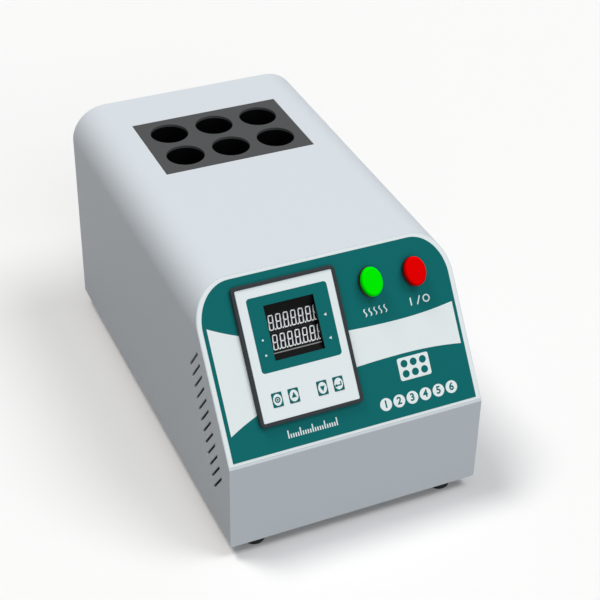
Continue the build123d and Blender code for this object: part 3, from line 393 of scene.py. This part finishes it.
def numeral(text, size, weight):
    """A plain number about its middle, as a flat shape: weight is added to each side of its strokes."""
    curve = bpy.data.curves.new("numeral", "FONT")
    curve.body = text
    curve.size = size
    curve.align_x = curve.align_y = "CENTER"
    curve.offset = weight
    shown = bpy.data.objects.new("numeral", curve)
    bpy.context.scene.collection.objects.link(shown)
    depsgraph = bpy.context.evaluated_depsgraph_get()
    mesh = bpy.data.meshes.new_from_object(shown.evaluated_get(depsgraph))
    bm = bmesh.new()
    bm.from_mesh(mesh)
    bpy.data.objects.remove(shown)
    bpy.data.curves.remove(curve)
    bpy.data.meshes.remove(mesh)
    bmesh.ops.remove_doubles(bm, verts=bm.verts[:], dist=10 * CORNER_GAP)
    return bm


# ---- Materials ---------------------------------------------------------------
def add_node(tree, kind, values=None, links=None, **settings):
    """Adds a node: settings are its own, values go to its inputs, and links bring outputs to them."""
    made = tree.nodes.new(kind)
    for key, value in settings.items():
        setattr(made, key, value)
    for key, value in (values or {}).items():
        made.inputs[key].default_value = value
    for key, (source, output) in (links or {}).items():
        tree.links.new(source.outputs[output], made.inputs[key])
    return made


def surface(name, tones, rough, grain, depth, stretch=(1, 1, 1), detail=3.0, sockets=None):
    """A finish: two tones and a range of roughness follow a grain, which also stands up by a depth.

    Grain and depth are in millimetres.
    """
    made = bpy.data.materials.new(name)
    made.use_nodes = True
    tree = made.node_tree
    shader = tree.nodes["Principled BSDF"]
    for key, value in (sockets or {}).items():
        shader.inputs[key].default_value = value
    coords = add_node(tree, "ShaderNodeTexCoord")
    mapping = add_node(tree, "ShaderNodeMapping", {"Scale": stretch}, {"Vector": (coords, "Object")})
    pattern = {"Scale": 1 / (grain * MM), "Detail": detail}
    noise = add_node(tree, "ShaderNodeTexNoise", pattern, {"Vector": (mapping, "Vector")})
    mixed = {COLOUR_A: tones[0], COLOUR_B: tones[1]}
    tone = add_node(tree, "ShaderNodeMix", mixed, {FACTOR: (noise, "Fac")}, data_type="RGBA")
    tree.links.new(tone.outputs[COLOUR_RESULT], shader.inputs["Base Color"])
    ends = {"To Min": rough[0], "To Max": rough[1]}
    levels = add_node(tree, "ShaderNodeMapRange", ends, {"Value": (noise, "Fac")})
    tree.links.new(levels.outputs["Result"], shader.inputs["Roughness"])
    bump = add_node(tree, "ShaderNodeBump", {"Distance": depth * MM}, {"Height": (noise, "Fac")})
    tree.links.new(bump.outputs["Normal"], shader.inputs["Normal"])
    return made


def shade(tone, share):
    """A tone made darker or lighter by a share."""
    return tuple(min(channel * share, 1.0) for channel in tone[:3]) + (1.0,)


def about(tone, spread):
    """Two tones, darker and lighter than one by a small share."""
    return shade(tone, 1 - spread), shade(tone, 1 + spread)


def between(dark, pale):
    """Two tones from their sRGB hex values."""
    return linear(dark), linear(pale)


def specular(level):
    """The socket that sets how strongly a surface that isn't metal reflects."""
    return {"Specular IOR Level": level}


def powder_coat():
    """Polyester powder coat on sheet steel: satin, with a fine orange peel that breaks highlights."""
    paint, satin = about(bpy.context.scene.digester_colours.paint, 0.015), specular(0.1)
    surface("powder_coated_steel", paint, rough=(0.42, 0.5), grain=1.6, depth=0.02, sockets=satin)


def film_inks():
    """Textured polyester film printed from behind: even inks under a fine matt grain."""
    colours, matt = bpy.context.scene.digester_colours, specular(0.06)
    for name, ink in (("teal_film", colours.teal), ("white_ink", colours.white_print)):
        surface(name, about(ink, 0.03), rough=(0.42, 0.52), grain=0.7, depth=0.008, sockets=matt)


def controller_plastics():
    """Moulded ABS with a spark-eroded grain for the bezel, and a smoother printed face over it."""
    colours, matt = bpy.context.scene.digester_colours, specular(0.1)
    bezel = about(colours.bezel, 0.06)
    face = shade(colours.face, 0.985), colours.face
    digit = shade(colours.digit, 0.95), colours.digit
    # Painted highlight: the ledge is pale grey for light caught on the recess's lower inside wall.
    ledge = between("868582", "94938F")
    mask, lamp = between("040405", "080809"), between("030304", "060607")
    surface("moulded_bezel", bezel, rough=(0.4, 0.52), grain=0.6, depth=0.02, sockets=matt)
    surface("printed_face", face, rough=(0.3, 0.38), grain=0.8, depth=0.006)
    surface("window_mask", mask, rough=(0.4, 0.55), grain=0.6, depth=0.01, sockets=matt)
    surface("lamp_window", lamp, rough=(0.12, 0.18), grain=2, depth=0.002, sockets=matt)
    surface("digit_strokes", digit, rough=(0.3, 0.4), grain=0.5, depth=0.004)
    surface("painted_light_ledge", ledge, rough=(0.3, 0.4), grain=0.5, depth=0.004)


def button_plastics():
    """Moulded caps, coloured right through: a deep, even colour without a sheen."""
    colours, deep = bpy.context.scene.digester_colours, specular(0.0)
    for name, tone in (("green_moulding", colours.green), ("red_moulding", colours.red)):
        surface(name, about(tone, 0.02), rough=(0.22, 0.28), grain=3, depth=0.004, sockets=deep)


def black_mouldings():
    """Black polyamide, rubber and wire insulation: satin and finely grained, dull, and smooth."""
    polyamide, rubber = between("141415", "1B1B1D"), between("0F0F10", "19191A")
    sleeve = between("151517", "202023")
    surface("black_polyamide", polyamide, rough=(0.38, 0.5), grain=0.6, depth=0.015)
    surface("moulded_rubber", rubber, rough=(0.7, 0.85), grain=1.2, depth=0.03)
    surface("wire_sleeve", sleeve, rough=(0.3, 0.4), grain=1.5, depth=0.01)


def anodised_plate():
    """Hard-anodised, bead-blasted aluminium: dull dark grey with a very fine sparkle."""
    tones, dull = about(bpy.context.scene.digester_colours.plate, 0.05), {"Metallic": 0.25}
    surface("anodised_plate", tones, rough=(0.48, 0.58), grain=0.5, depth=0.01, sockets=dull)


def blackened_bore():
    """Bored aluminium coloured nearly black as painted shade deep in the wells, with faint turning
    marks.
    """
    well = bpy.context.scene.digester_colours.well
    tones, turned, dull = (shade(well, 0.8), shade(well, 1.3)), (0.2, 0.2, 3), specular(0.12)
    surface(
        "blackened_bore", tones, rough=(0.5, 0.7), grain=1.2, depth=0.02, stretch=turned, sockets=dull
    )


def bare_metals():
    """Aluminium, stainless sheet, zinc and nickel plate, each with the marks of how it was made."""
    metal = {"Metallic": 1.0}
    aluminium, stainless = between("B9BCBF", "CDD0D2"), between("A8A9AA", "BBBCBD")
    zinc, nickel = between("A9AEB4", "C3C7CB"), between("C9C4B4", "D6D2C6")
    milled, rolled = (0.08, 1, 1), (1, 0.06, 1)
    # Extruded and milled aluminium: pale, with fine lengthwise streaks.
    surface(
        "milled_aluminium", aluminium, rough=(0.28, 0.4), grain=0.8, depth=0.006,
        stretch=milled, sockets=metal,
    )
    # Cold-rolled stainless sheet: grey with soft rolling streaks.
    surface(
        "rolled_stainless", stainless, rough=(0.26, 0.38), grain=0.7, depth=0.004,
        stretch=rolled, sockets=metal,
    )
    # Zinc plate, blue passivated: cool grey with a cloudy bloom.
    surface("zinc_plated_steel", zinc, rough=(0.25, 0.42), grain=2.5, depth=0.004, sockets=metal)
    # Nickel-plated brass: warm pale grey, bright.
    surface("nickel_plate", nickel, rough=(0.18, 0.28), grain=1.5, depth=0.003, sockets=metal)


def inner_finishes():
    """Matted fibre, circuit board and glass, which are seen only through openings and gaps."""
    fibre, clear = between("DAD7CC", "EFEDE6"), between("DDE8E8", "EAF2F2")
    board_green = between("04130C", "061A10")
    flattened, glass = (1, 1, 0.4), {"Transmission Weight": 0.85, "IOR": 1.5}
    surface(
        "matted_fibre", fibre, rough=(0.85, 0.95), grain=1.8, depth=0.4, stretch=flattened, detail=6.0
    )
    surface("lacquered_board", board_green, rough=(0.3, 0.4), grain=3, depth=0.01)
    surface("drawn_glass", clear, rough=(0.04, 0.08), grain=4, depth=0.002, sockets=glass)


FINISHES = (
    powder_coat, film_inks, controller_plastics, button_plastics, black_mouldings,
    anodised_plate, blackened_bore, bare_metals, inner_finishes,
)
SLOT_FINISH = {
    "painted_steel": "powder_coated_steel",
    "front_paint": "powder_coated_steel",
    "printed_film": "teal_film",
    "plate_grey": "anodised_plate",
    "bare_aluminium": "milled_aluminium",
    "stainless": "rolled_stainless",
    "zinc_steel": "zinc_plated_steel",
    "black_plastic": "black_polyamide",
    "bezel_plastic": "moulded_bezel",
    "face_white": "printed_face",
    "key_teal": "teal_film",
    "mask_grey": "window_mask",
    "display_black": "lamp_window",
    "green_cap": "green_moulding",
    "red_cap": "red_moulding",
    "foot_rubber": "moulded_rubber",
    "ceramic_fibre": "matted_fibre",
    "circuit_board": "lacquered_board",
    "plated_brass": "nickel_plate",
    "wire_cover": "wire_sleeve",
    "fuse_glass": "drawn_glass",
}
# The heating block and the wells' floor carry the near black of the wells' painted shade.
NODE_FINISH = {"heating_block": "blackened_bore", "block_floor": "blackened_bore"}


class DIGESTER_OT_finishes(bpy.types.Operator):
    """Makes the finishes and gives each CAD node its own"""

    bl_idname = "digester.finishes"
    bl_label = "Finishes"

    def execute(self, context):
        for make in FINISHES:
            make()
        for subpart in frame["record"]["subparts"]:
            name = subpart["node"]
            finish = bpy.data.materials[NODE_FINISH.get(name) or SLOT_FINISH[subpart["material_slot"]]]
            shown = frame["nodes"][name]
            if not shown.material_slots:
                shown.data.materials.append(finish)
            for slot in shown.material_slots:
                slot.material = finish
        return {"FINISHED"}


# ---- Prints on the film ------------------------------------------------------
def film_outline(side, low, top, radius):
    """The film's shape: square at the bottom and rounded with the body's edges at the top."""
    sizes = bpy.context.scene.digester_panel
    body_low, body_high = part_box("front_panel")
    width = body_high.x - body_low.x - 2 * side
    rise = body_high.z - body_low.z - sizes.front_height
    share = sqrt(rise ** 2 + sizes.slope_depth ** 2) / rise
    height = rise - top - low / share
    shape = board(width, height, radius, sizes.corner_steps, top_only=True)
    shape.transform(moved(0, low + height * share / 2) @ Matrix.Diagonal((1, share, 1, 1)))
    return shape


class DIGESTER_OT_border(bpy.types.Operator):
    """White border printed round the teal film"""

    bl_idname = "digester.border"
    bl_label = "Border"

    def execute(self, context):
        sizes = context.scene.digester_panel
        film_low = span("front_label")[0].y
        outer_radius = sizes.edge_radius - sizes.border_side
        inner_radius = sizes.edge_radius - sizes.film_top
        outer = film_outline(sizes.border_side, sizes.border_low, sizes.border_top, outer_radius)
        inner = film_outline(sizes.film_side, film_low, sizes.film_top, inner_radius)
        ring = thick(ringed(outer, inner), middle("front_label")[2] / 2)
        piece(ring, "film_border", "white_ink", place=panel())
        return {"FINISHED"}


class DIGESTER_OT_stripe(bpy.types.Operator):
    """White flared stripe on each side of the controller"""

    bl_idname = "digester.stripe"
    bl_label = "Stripe"

    def half_width(self, across):
        """The stripe is narrow at its waist, flares gently to the right and strongly to the left."""
        sizes = bpy.context.scene.digester_panel
        away = sizes.stripe_waist - across
        if away < 0:
            return sizes.stripe_narrow + sizes.right_flare * (away / sizes.right_reach) ** 2
        far = away / sizes.left_reach
        return sizes.stripe_narrow + sizes.left_flare * far ** 2 + sizes.left_curl * far ** 4

    def execute(self, context):
        sizes = context.scene.digester_panel
        low, high = span("controller_bezel")
        top = middle("front_label")[2]
        ends = {
            "stripe_left": (sizes.stripe_left, low.x),
            "stripe_right": (high.x, sizes.stripe_right),
        }
        for name, (start, end) in ends.items():
            # The strip's edges start one up and one down, and each is brought to the half width.
            strip = line(end - start, 2, steps=sizes.stripe_steps)
            for vertex in strip.verts:
                vertex.co.x += (start + end) / 2
                vertex.co.y *= self.half_width(vertex.co.x)
            place = on_panel(0, sizes.stripe_middle, top)
            piece(thick(strip, sizes.print_thickness), name, "white_ink", place=place)
        return {"FINISHED"}


# ---- Controller --------------------------------------------------------------
def window_place(out):
    """Middle of the display window, at a height above the sloped face."""
    sizes = bpy.context.scene.digester_controller
    across, up, _ = middle("controller_bezel")
    return on_panel(across + sizes.window_x, up + sizes.window_up, out)


class DIGESTER_OT_window(bpy.types.Operator):
    """Printed field round the display window, its side marks and the ledge under the digits, painted
    pale as light on the recess's lower wall
    """

    bl_idname = "digester.window"
    bl_label = "Window"

    def execute(self, context):
        sizes = context.scene.digester_controller
        ink = context.scene.digester_panel.print_thickness
        top = middle("controller_face")[2]
        outer = board(sizes.field_width, sizes.field_height, sizes.field_corner)
        field = thick(ringed(outer, board(sizes.window_width, sizes.window_height)), ink)
        piece(field, "window_field", "teal_film", place=window_place(top))
        side = (sizes.window_width + sizes.field_width) / 4
        marks = [(disc(sizes.dot_radius, SMALL_ROUND), moved(-side, -drop)) for drop in sizes.dot_drops]
        for drop in sizes.arrow_drops:
            marks.append((disc(sizes.arrow_radius, TRIANGLE), moved(side, -drop) @ QUARTER_TURN))
        marks = thick(gathered(marks), ink)
        piece(marks, "window_marks", "white_ink", place=window_place(top + ink))
        # A pale ledge of painted light, standing for the lit lower wall of the display's recess.
        ledge = thick(board(sizes.window_width, sizes.ledge_height), sizes.ledge_height)
        ledge_place = window_place(middle("digit_displays")[2]) @ moved(0, -sizes.ledge_drop)
        piece(ledge, "painted_light_ledge", "painted_light_ledge", place=ledge_place)
        return {"FINISHED"}


class DIGESTER_OT_digits(bpy.types.Operator):
    """Two rows of seven-stroke digits on the display"""

    bl_idname = "digester.digits"
    bl_label = "Digits"

    def stroke(self, size, width):
        """One stroke along X: a stretched hexagon, a little narrower at its right end."""
        bm = disc(width / 2, HEXAGON)
        for vertex in bm.verts:
            at_right_end = vertex.co.x > width / 4
            vertex.co.x += (size - width) / (2 if at_right_end else -2)
        return bm

    def digit(self):
        """An eight of seven strokes, with its point at the lower right."""
        sizes = bpy.context.scene.digester_controller
        wide, half, width = sizes.digit_width, sizes.digit_height / 2, sizes.digit_stroke
        level, upright = wide - sizes.stroke_gap, half - sizes.stroke_gap
        parts = [(self.stroke(level, width), moved(0, up)) for up in (-half, 0, half)]
        for across in (-wide / 2, wide / 2):
            for up in (-half / 2, half / 2):
                parts.append((self.stroke(upright, width), moved(across, up) @ QUARTER_TURN))
        point = disc(sizes.point_radius, SMALL_ROUND)
        parts.append((point, moved(wide / 2 + sizes.point_offset, -half)))
        whole = gathered(parts)
        for vertex in whole.verts:
            vertex.co.x += vertex.co.y * sin(sizes.digit_lean)
        return whole

    def execute(self, context):
        sizes = context.scene.digester_controller
        ink = context.scene.digester_panel.print_thickness
        low, high = span("digit_displays")
        for name, up in zip(("digits_lower", "digits_upper"), self.row_middles()):
            parts = []
            for i in range(sizes.digit_count):
                across = low.x + sizes.digit_inset + i * sizes.digit_pitch
                parts.append((self.digit(), moved(across, up + sizes.digit_rise)))
            strokes = thick(gathered(parts), ink)
            piece(strokes, name, "digit_strokes", place=on_panel(0, 0, high.z))
        return {"FINISHED"}

    def row_middles(self):
        """Middles of the lower and the upper display row, up the slope, to the nearest micrometre."""
        low, high = span("digit_displays")
        half = bpy.context.scene.digester_controller.row_height / 2
        return round(low.y + half, 6), round(high.y - half, 6)


class DIGESTER_OT_key_marks(bpy.types.Operator):
    """White oval and teal mark on each key, moving with it"""

    bl_idname = "digester.key_marks"
    bl_label = "Key marks"

    def mark(self, key, sizes):
        """A ring with a dot, an up arrow, a down arrow or a return arrow."""
        half, width = sizes.mark_size / 2, sizes.mark_line
        if key == "set_key":
            ring = ringed(disc(half), disc(half - width))
            return gathered([(ring, Matrix()), (disc(sizes.mark_dot, DOT_ROUND), Matrix())])
        if key in ("up_key", "down_key"):
            turn = Matrix.Rotation(pi if key == "down_key" else 0, 4, "Z")
            return gathered([(disc(half, TRIANGLE, height=sizes.mark_height), turn)])
        level, rise = line(sizes.mark_size, width), line(sizes.return_rise, width)
        return gathered([
            (level, moved(0, -sizes.return_drop)),
            (rise, moved(half - width / 2, sizes.return_middle) @ QUARTER_TURN),
            (disc(sizes.return_head, TRIANGLE), moved(-half, -sizes.return_drop) @ QUARTER_TURN),
        ])

    def execute(self, context):
        sizes = context.scene.digester_controller
        ink = context.scene.digester_panel.print_thickness
        for key in KEYS:
            across, up, top = middle(key)
            oval = thick(disc(sizes.oval_width / 2, height=sizes.oval_height), ink)
            piece(oval, f"{key}_oval", "printed_face", key, on_panel(across, up, top))
            symbol = thick(self.mark(key, sizes), ink)
            piece(symbol, f"{key}_mark", "teal_film", key, on_panel(across, up, top + ink))
        return {"FINISHED"}


# ---- Symbols on the film -----------------------------------------------------
class DIGESTER_OT_symbols(bpy.types.Operator):
    """Plain white symbols and numbers printed on the film"""

    bl_idname = "digester.symbols"
    bl_label = "Symbols"

    def heat(self, sizes):
        """A row of wavy lines that rise, each with one whole wave."""
        parts = []
        for across in row(sizes.wave_count, sizes.heat_width / sizes.wave_count):
            wavy = line(sizes.height, sizes.line, wave=sizes.wave, waves=1, steps=sizes.wave_steps)
            parts.append((wavy, moved(across, 0) @ QUARTER_TURN))
        return gathered(parts)

    def switch(self, sizes):
        """A bar, a slanted stroke and a ring: on and off."""
        half, radius = sizes.switch_width / 2, sizes.height / 2
        bar = line(sizes.height, sizes.line)
        slash = line(sizes.slash_length, sizes.line)
        ring = ringed(disc(radius), disc(radius - sizes.line))
        return gathered([
            (bar, moved(radius - half, 0) @ QUARTER_TURN),
            (slash, Matrix.Rotation(sizes.slash_tilt, 4, "Z")),
            (ring, moved(half - radius, 0)),
        ])

    def scale(self, sizes):
        """Tick marks of a scale on one level, with a long one at the head of each group."""
        parts = []
        places = row(sizes.tick_count, sizes.scale_width / (sizes.tick_count - 1))
        for i, across in enumerate(places):
            tall = sizes.short_tick if i % sizes.tick_group else sizes.height
            lowered = moved(across, (tall - sizes.height) / 2)
            parts.append((line(tall, sizes.line), lowered @ QUARTER_TURN))
        return gathered(parts)

    def plan(self, sizes):
        """The block seen from above, as a white field."""
        return board(sizes.plan_width, sizes.plan_height, sizes.plan_corner)

    def plan_wells(self, sizes):
        """The wells on that plan, row by row."""
        wells = []
        for up in row(sizes.wells_deep, sizes.plan_pitch):
            for across in row(sizes.wells_across, sizes.plan_pitch):
                wells.append((disc(sizes.plan_well), moved(across, up)))
        return gathered(wells)

    def badges(self, sizes):
        """White badges in a row, one for each well."""
        places = self.badge_places(sizes)
        return gathered([(disc(sizes.badge_radius), moved(across, 0)) for across in places])

    def numbers(self, sizes):
        """The wells' numbers on the badges."""
        parts = []
        for i, across in enumerate(self.badge_places(sizes), 1):
            parts.append((numeral(str(i), sizes.number_size, sizes.number_weight), moved(across, 0)))
        return gathered(parts)

    def badge_places(self, sizes):
        """Where the badges are in their row."""
        return row(sizes.wells_across * sizes.wells_deep, sizes.badge_pitch)

    def execute(self, context):
        sizes = context.scene.digester_symbols
        ink = context.scene.digester_panel.print_thickness
        top = middle("front_label")[2]
        heater, power = middle("heater_button_cap"), middle("power_button_cap")
        prints = {
            "heat_symbol": (self.heat, heater[0], heater[1] - sizes.below_button),
            "switch_symbol": (self.switch, power[0], power[1] - sizes.below_button),
            "scale_marks": (self.scale, sizes.scale_x, sizes.scale_up),
            "well_plan": (self.plan, sizes.plan_x, sizes.plan_up),
            "well_badges": (self.badges, sizes.badges_x, sizes.badges_up),
        }
        over_prints = {
            "plan_wells": (self.plan_wells, sizes.plan_x, sizes.plan_up),
            "well_numbers": (self.numbers, sizes.badges_x, sizes.badges_up),
        }
        for name, (draw, across, up) in prints.items():
            place = on_panel(across, up, top)
            piece(thick(draw(sizes), ink), name, "white_ink", place=place)
        for name, (draw, across, up) in over_prints.items():
            place = on_panel(across, up, top + ink)
            piece(thick(draw(sizes), ink), name, "teal_film", place=place)
        return {"FINISHED"}


# ---- Screws ------------------------------------------------------------------
SCREWS = {"rear_screws": (0, 1, 0), "inlet_screws": (0, 1, 0), "foot_fasteners": (0, 0, -1)}  # outwards


def merged(node):
    """A copy of a CAD node's mesh, its triangles joined at their corners."""
    bm = bmesh.new()
    bm.from_mesh(frame["nodes"][node].data)
    bmesh.ops.remove_doubles(bm, verts=bm.verts[:], dist=CORNER_GAP)
    return bm


def heads(bm, outwards, reach):
    """Middles of the tops of the screws' heads: the outermost corners, gathered within a reach."""
    outermost = max(vertex.co.dot(outwards) for vertex in bm.verts)
    rims = []
    for vertex in bm.verts:
        if vertex.co.dot(outwards) > outermost - 10 * CORNER_GAP:
            near = [rim for rim in rims if (rim[0] - vertex.co).length < reach]
            if near:
                near[0].append(vertex.co.copy())
            else:
                rims.append([vertex.co.copy()])
    return [sum(rim, Vector()) / len(rim) for rim in rims]


def carved(bm, cutter, sizes):
    """A shape with softened rims, cut by another."""
    shown = []
    for name, part in (("shape", bm), ("cutter", cutter)):
        mesh = bpy.data.meshes.new(name)
        part.to_mesh(mesh)
        part.free()
        shown.append(bpy.data.objects.new(name, mesh))
        bpy.context.scene.collection.objects.link(shown[-1])
    rim = shown[0].modifiers.new("rim", "BEVEL")
    rim.limit_method = "ANGLE"
    rim.angle_limit = sizes.sharp
    rim.width = sizes.softening
    rim.segments = sizes.rim_steps
    cut = shown[0].modifiers.new("cut", "BOOLEAN")
    cut.operation = "DIFFERENCE"
    cut.solver = "EXACT"
    cut.use_self = True  # the arms of a cross meet
    cut.object = shown[1]
    depsgraph = bpy.context.evaluated_depsgraph_get()
    mesh = bpy.data.meshes.new_from_object(shown[0].evaluated_get(depsgraph))
    made = bmesh.new()
    made.from_mesh(mesh)
    bpy.data.meshes.remove(mesh)
    for item in shown:
        bpy.data.meshes.remove(item.data)
    return made


class DIGESTER_OT_screws(bpy.types.Operator):
    """Screws with rounded heads and cross recesses, in place of the plain ones"""

    bl_idname = "digester.screws"
    bl_label = "Screws"

    def execute(self, context):
        sizes = context.scene.digester_screws
        turn = 0.0
        sunk = moved(0, 0, -sizes.recess_depth)
        for node, direction in SCREWS.items():
            outwards = Vector(direction)
            shape, crosses = merged(node), []
            for place in heads(shape, outwards, sizes.head_reach):
                turn += sizes.cross_turn
                lie = Matrix.Translation(place) @ outwards.to_track_quat("Z", "Y").to_matrix().to_4x4()
                for arm_turn in (turn, turn + pi / 2):
                    arm = line(sizes.recess_length, sizes.recess_width)
                    arm = thick(arm, 2 * sizes.recess_depth)
                    crosses.append((arm, lie @ Matrix.Rotation(arm_turn, 4, "Z") @ sunk))
            made = carved(shape, gathered(crosses), sizes)
            shown = piece(made, f"{node}_crossed", "zinc_plated_steel")
            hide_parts(node)
        return {"FINISHED"}


# ---- Stage -------------------------------------------------------------------
def either(tree, first, second):
    """A node that is on where either of two outputs is."""
    return add_node(tree, "ShaderNodeMath", None, {0: first, 1: second}, operation="MAXIMUM")


def pale_floor(shown, thrown):
    """Studio floor: pale to the eye and in reflections, but it throws little light on the object."""
    made = bpy.data.materials.new("pale_floor")
    made.use_nodes = True
    tree = made.node_tree
    tree.nodes.clear()
    dull = add_node(tree, "ShaderNodeBsdfDiffuse", {"Color": thrown})
    pale = add_node(tree, "ShaderNodeBsdfDiffuse", {"Color": shown})
    path = add_node(tree, "ShaderNodeLightPath")
    seen = either(tree, (path, "Is Camera Ray"), (path, "Is Glossy Ray"))
    seen = either(tree, (seen, 0), (path, "Is Transmission Ray"))
    mixed = add_node(tree, "ShaderNodeMixShader", None, {0: (seen, 0), 1: (dull, 0), 2: (pale, 0)})
    add_node(tree, "ShaderNodeOutputMaterial", None, {"Surface": (mixed, 0)})
    return made


def studio_world(sky, tint):
    """Even light from all round, with a white background to the eye."""
    world = bpy.data.worlds.new("studio")
    bpy.context.scene.world = world
    world.use_nodes = True
    tree = world.node_tree
    tree.nodes.clear()
    light = add_node(tree, "ShaderNodeBackground", {"Color": tint, "Strength": sky})
    white = add_node(tree, "ShaderNodeBackground", {"Color": linear("FFFFFF"), "Strength": 1.0})
    path = add_node(tree, "ShaderNodeLightPath")
    seen = either(tree, (path, "Is Camera Ray"), (path, "Is Transmission Ray"))
    mixed = add_node(tree, "ShaderNodeMixShader", None, {0: (seen, 0), 1: (light, 0), 2: (white, 0)})
    add_node(tree, "ShaderNodeOutputWorld", None, {"Surface": (mixed, 0)})


def sun(name, vector, spread, tint):
    """A soft lamp far away: the vector points at it, and its length is the light that it gives."""
    lamp = bpy.data.lights.new(name, "SUN")
    lamp.energy = pi * vector.length
    lamp.angle = spread
    lamp.color = tint
    made = bpy.data.objects.new(name, lamp)
    made.rotation_euler = vector.to_track_quat("Z", "Y").to_euler()
    bpy.context.scene.collection.objects.link(made)


class DIGESTER_OT_stage(bpy.types.Operator):
    """Floor, lamps, world and camera"""

    bl_idname = "digester.stage"
    bl_label = "Stage"

    def execute(self, context):
        scene, settings = context.scene, context.scene.digester_stage
        bm = disc(settings.floor_radius, settings.floor_corners)
        mesh = bpy.data.meshes.new("floor")
        bm.to_mesh(mesh)
        bm.free()
        floor = bpy.data.objects.new("floor", mesh)
        scene.collection.objects.link(floor)
        mesh.materials.append(pale_floor(settings.floor_shown, settings.floor_thrown))
        sun("front_light", settings.front_light, settings.front_spread, COOL)
        sun("left_light", settings.left_light, settings.left_spread, WARM)
        sun("right_light", settings.right_light, settings.right_spread, COOL)
        studio_world(settings.sky, settings.sky_tint)
        scene.view_settings.view_transform = "Standard"
        azimuth, elevation, roll = settings.azimuth, settings.elevation, settings.roll
        back = Vector((sin(azimuth) * cos(elevation), -cos(azimuth) * cos(elevation), sin(elevation)))
        right = Vector((cos(azimuth), sin(azimuth), 0))
        up = back.cross(right)
        rolled = cos(roll) * right + sin(roll) * up, cos(roll) * up - sin(roll) * right, back
        lens = bpy.data.cameras.new("camera")
        lens.lens = settings.focal
        lens.sensor_width = settings.sensor
        lens.clip_start = settings.near
        lens.clip_end = settings.far
        camera = bpy.data.objects.new("camera", lens)
        camera.matrix_world = Matrix.Translation(settings.place) @ Matrix(rolled).transposed().to_4x4()
        scene.collection.objects.link(camera)
        scene.camera = camera
        return {"FINISHED"}


# ---- Add-on ------------------------------------------------------------------
class DIGESTER_PT_panel(bpy.types.Panel):
    """Lists what builds the digester's looks"""

    bl_label = "Digester"
    bl_idname = "DIGESTER_PT_panel"
    bl_space_type = "VIEW_3D"
    bl_region_type = "UI"
    bl_category = "Digester"

    def draw(self, context):
        for operator in OPERATORS:
            self.layout.operator(operator.bl_idname)


OPERATORS = (
    DIGESTER_OT_finishes,
    DIGESTER_OT_border,
    DIGESTER_OT_stripe,
    DIGESTER_OT_window,
    DIGESTER_OT_digits,
    DIGESTER_OT_key_marks,
    DIGESTER_OT_symbols,
    DIGESTER_OT_screws,
    DIGESTER_OT_stage,
)
GROUPS = {
    "digester_panel": PanelSizes,
    "digester_controller": ControllerSizes,
    "digester_symbols": SymbolSizes,
    "digester_screws": ScrewSizes,
    "digester_colours": FinishColours,
    "digester_stage": StageSettings,
}


def register():
    for group in GROUPS.values():
        bpy.utils.register_class(group)
    for name, group in GROUPS.items():
        setattr(bpy.types.Scene, name, PointerProperty(type=group))
    for shown in (*OPERATORS, DIGESTER_PT_panel):
        bpy.utils.register_class(shown)


def unregister():
    for shown in (DIGESTER_PT_panel, *OPERATORS[::-1]):
        bpy.utils.unregister_class(shown)
    for name, group in GROUPS.items():
        delattr(bpy.types.Scene, name)
        bpy.utils.unregister_class(group)


def main():
    register()
    for operator in OPERATORS:
        group, name = operator.bl_idname.split(".")
        getattr(getattr(bpy.ops, group), name)()


if __name__ == "__main__":
    main()
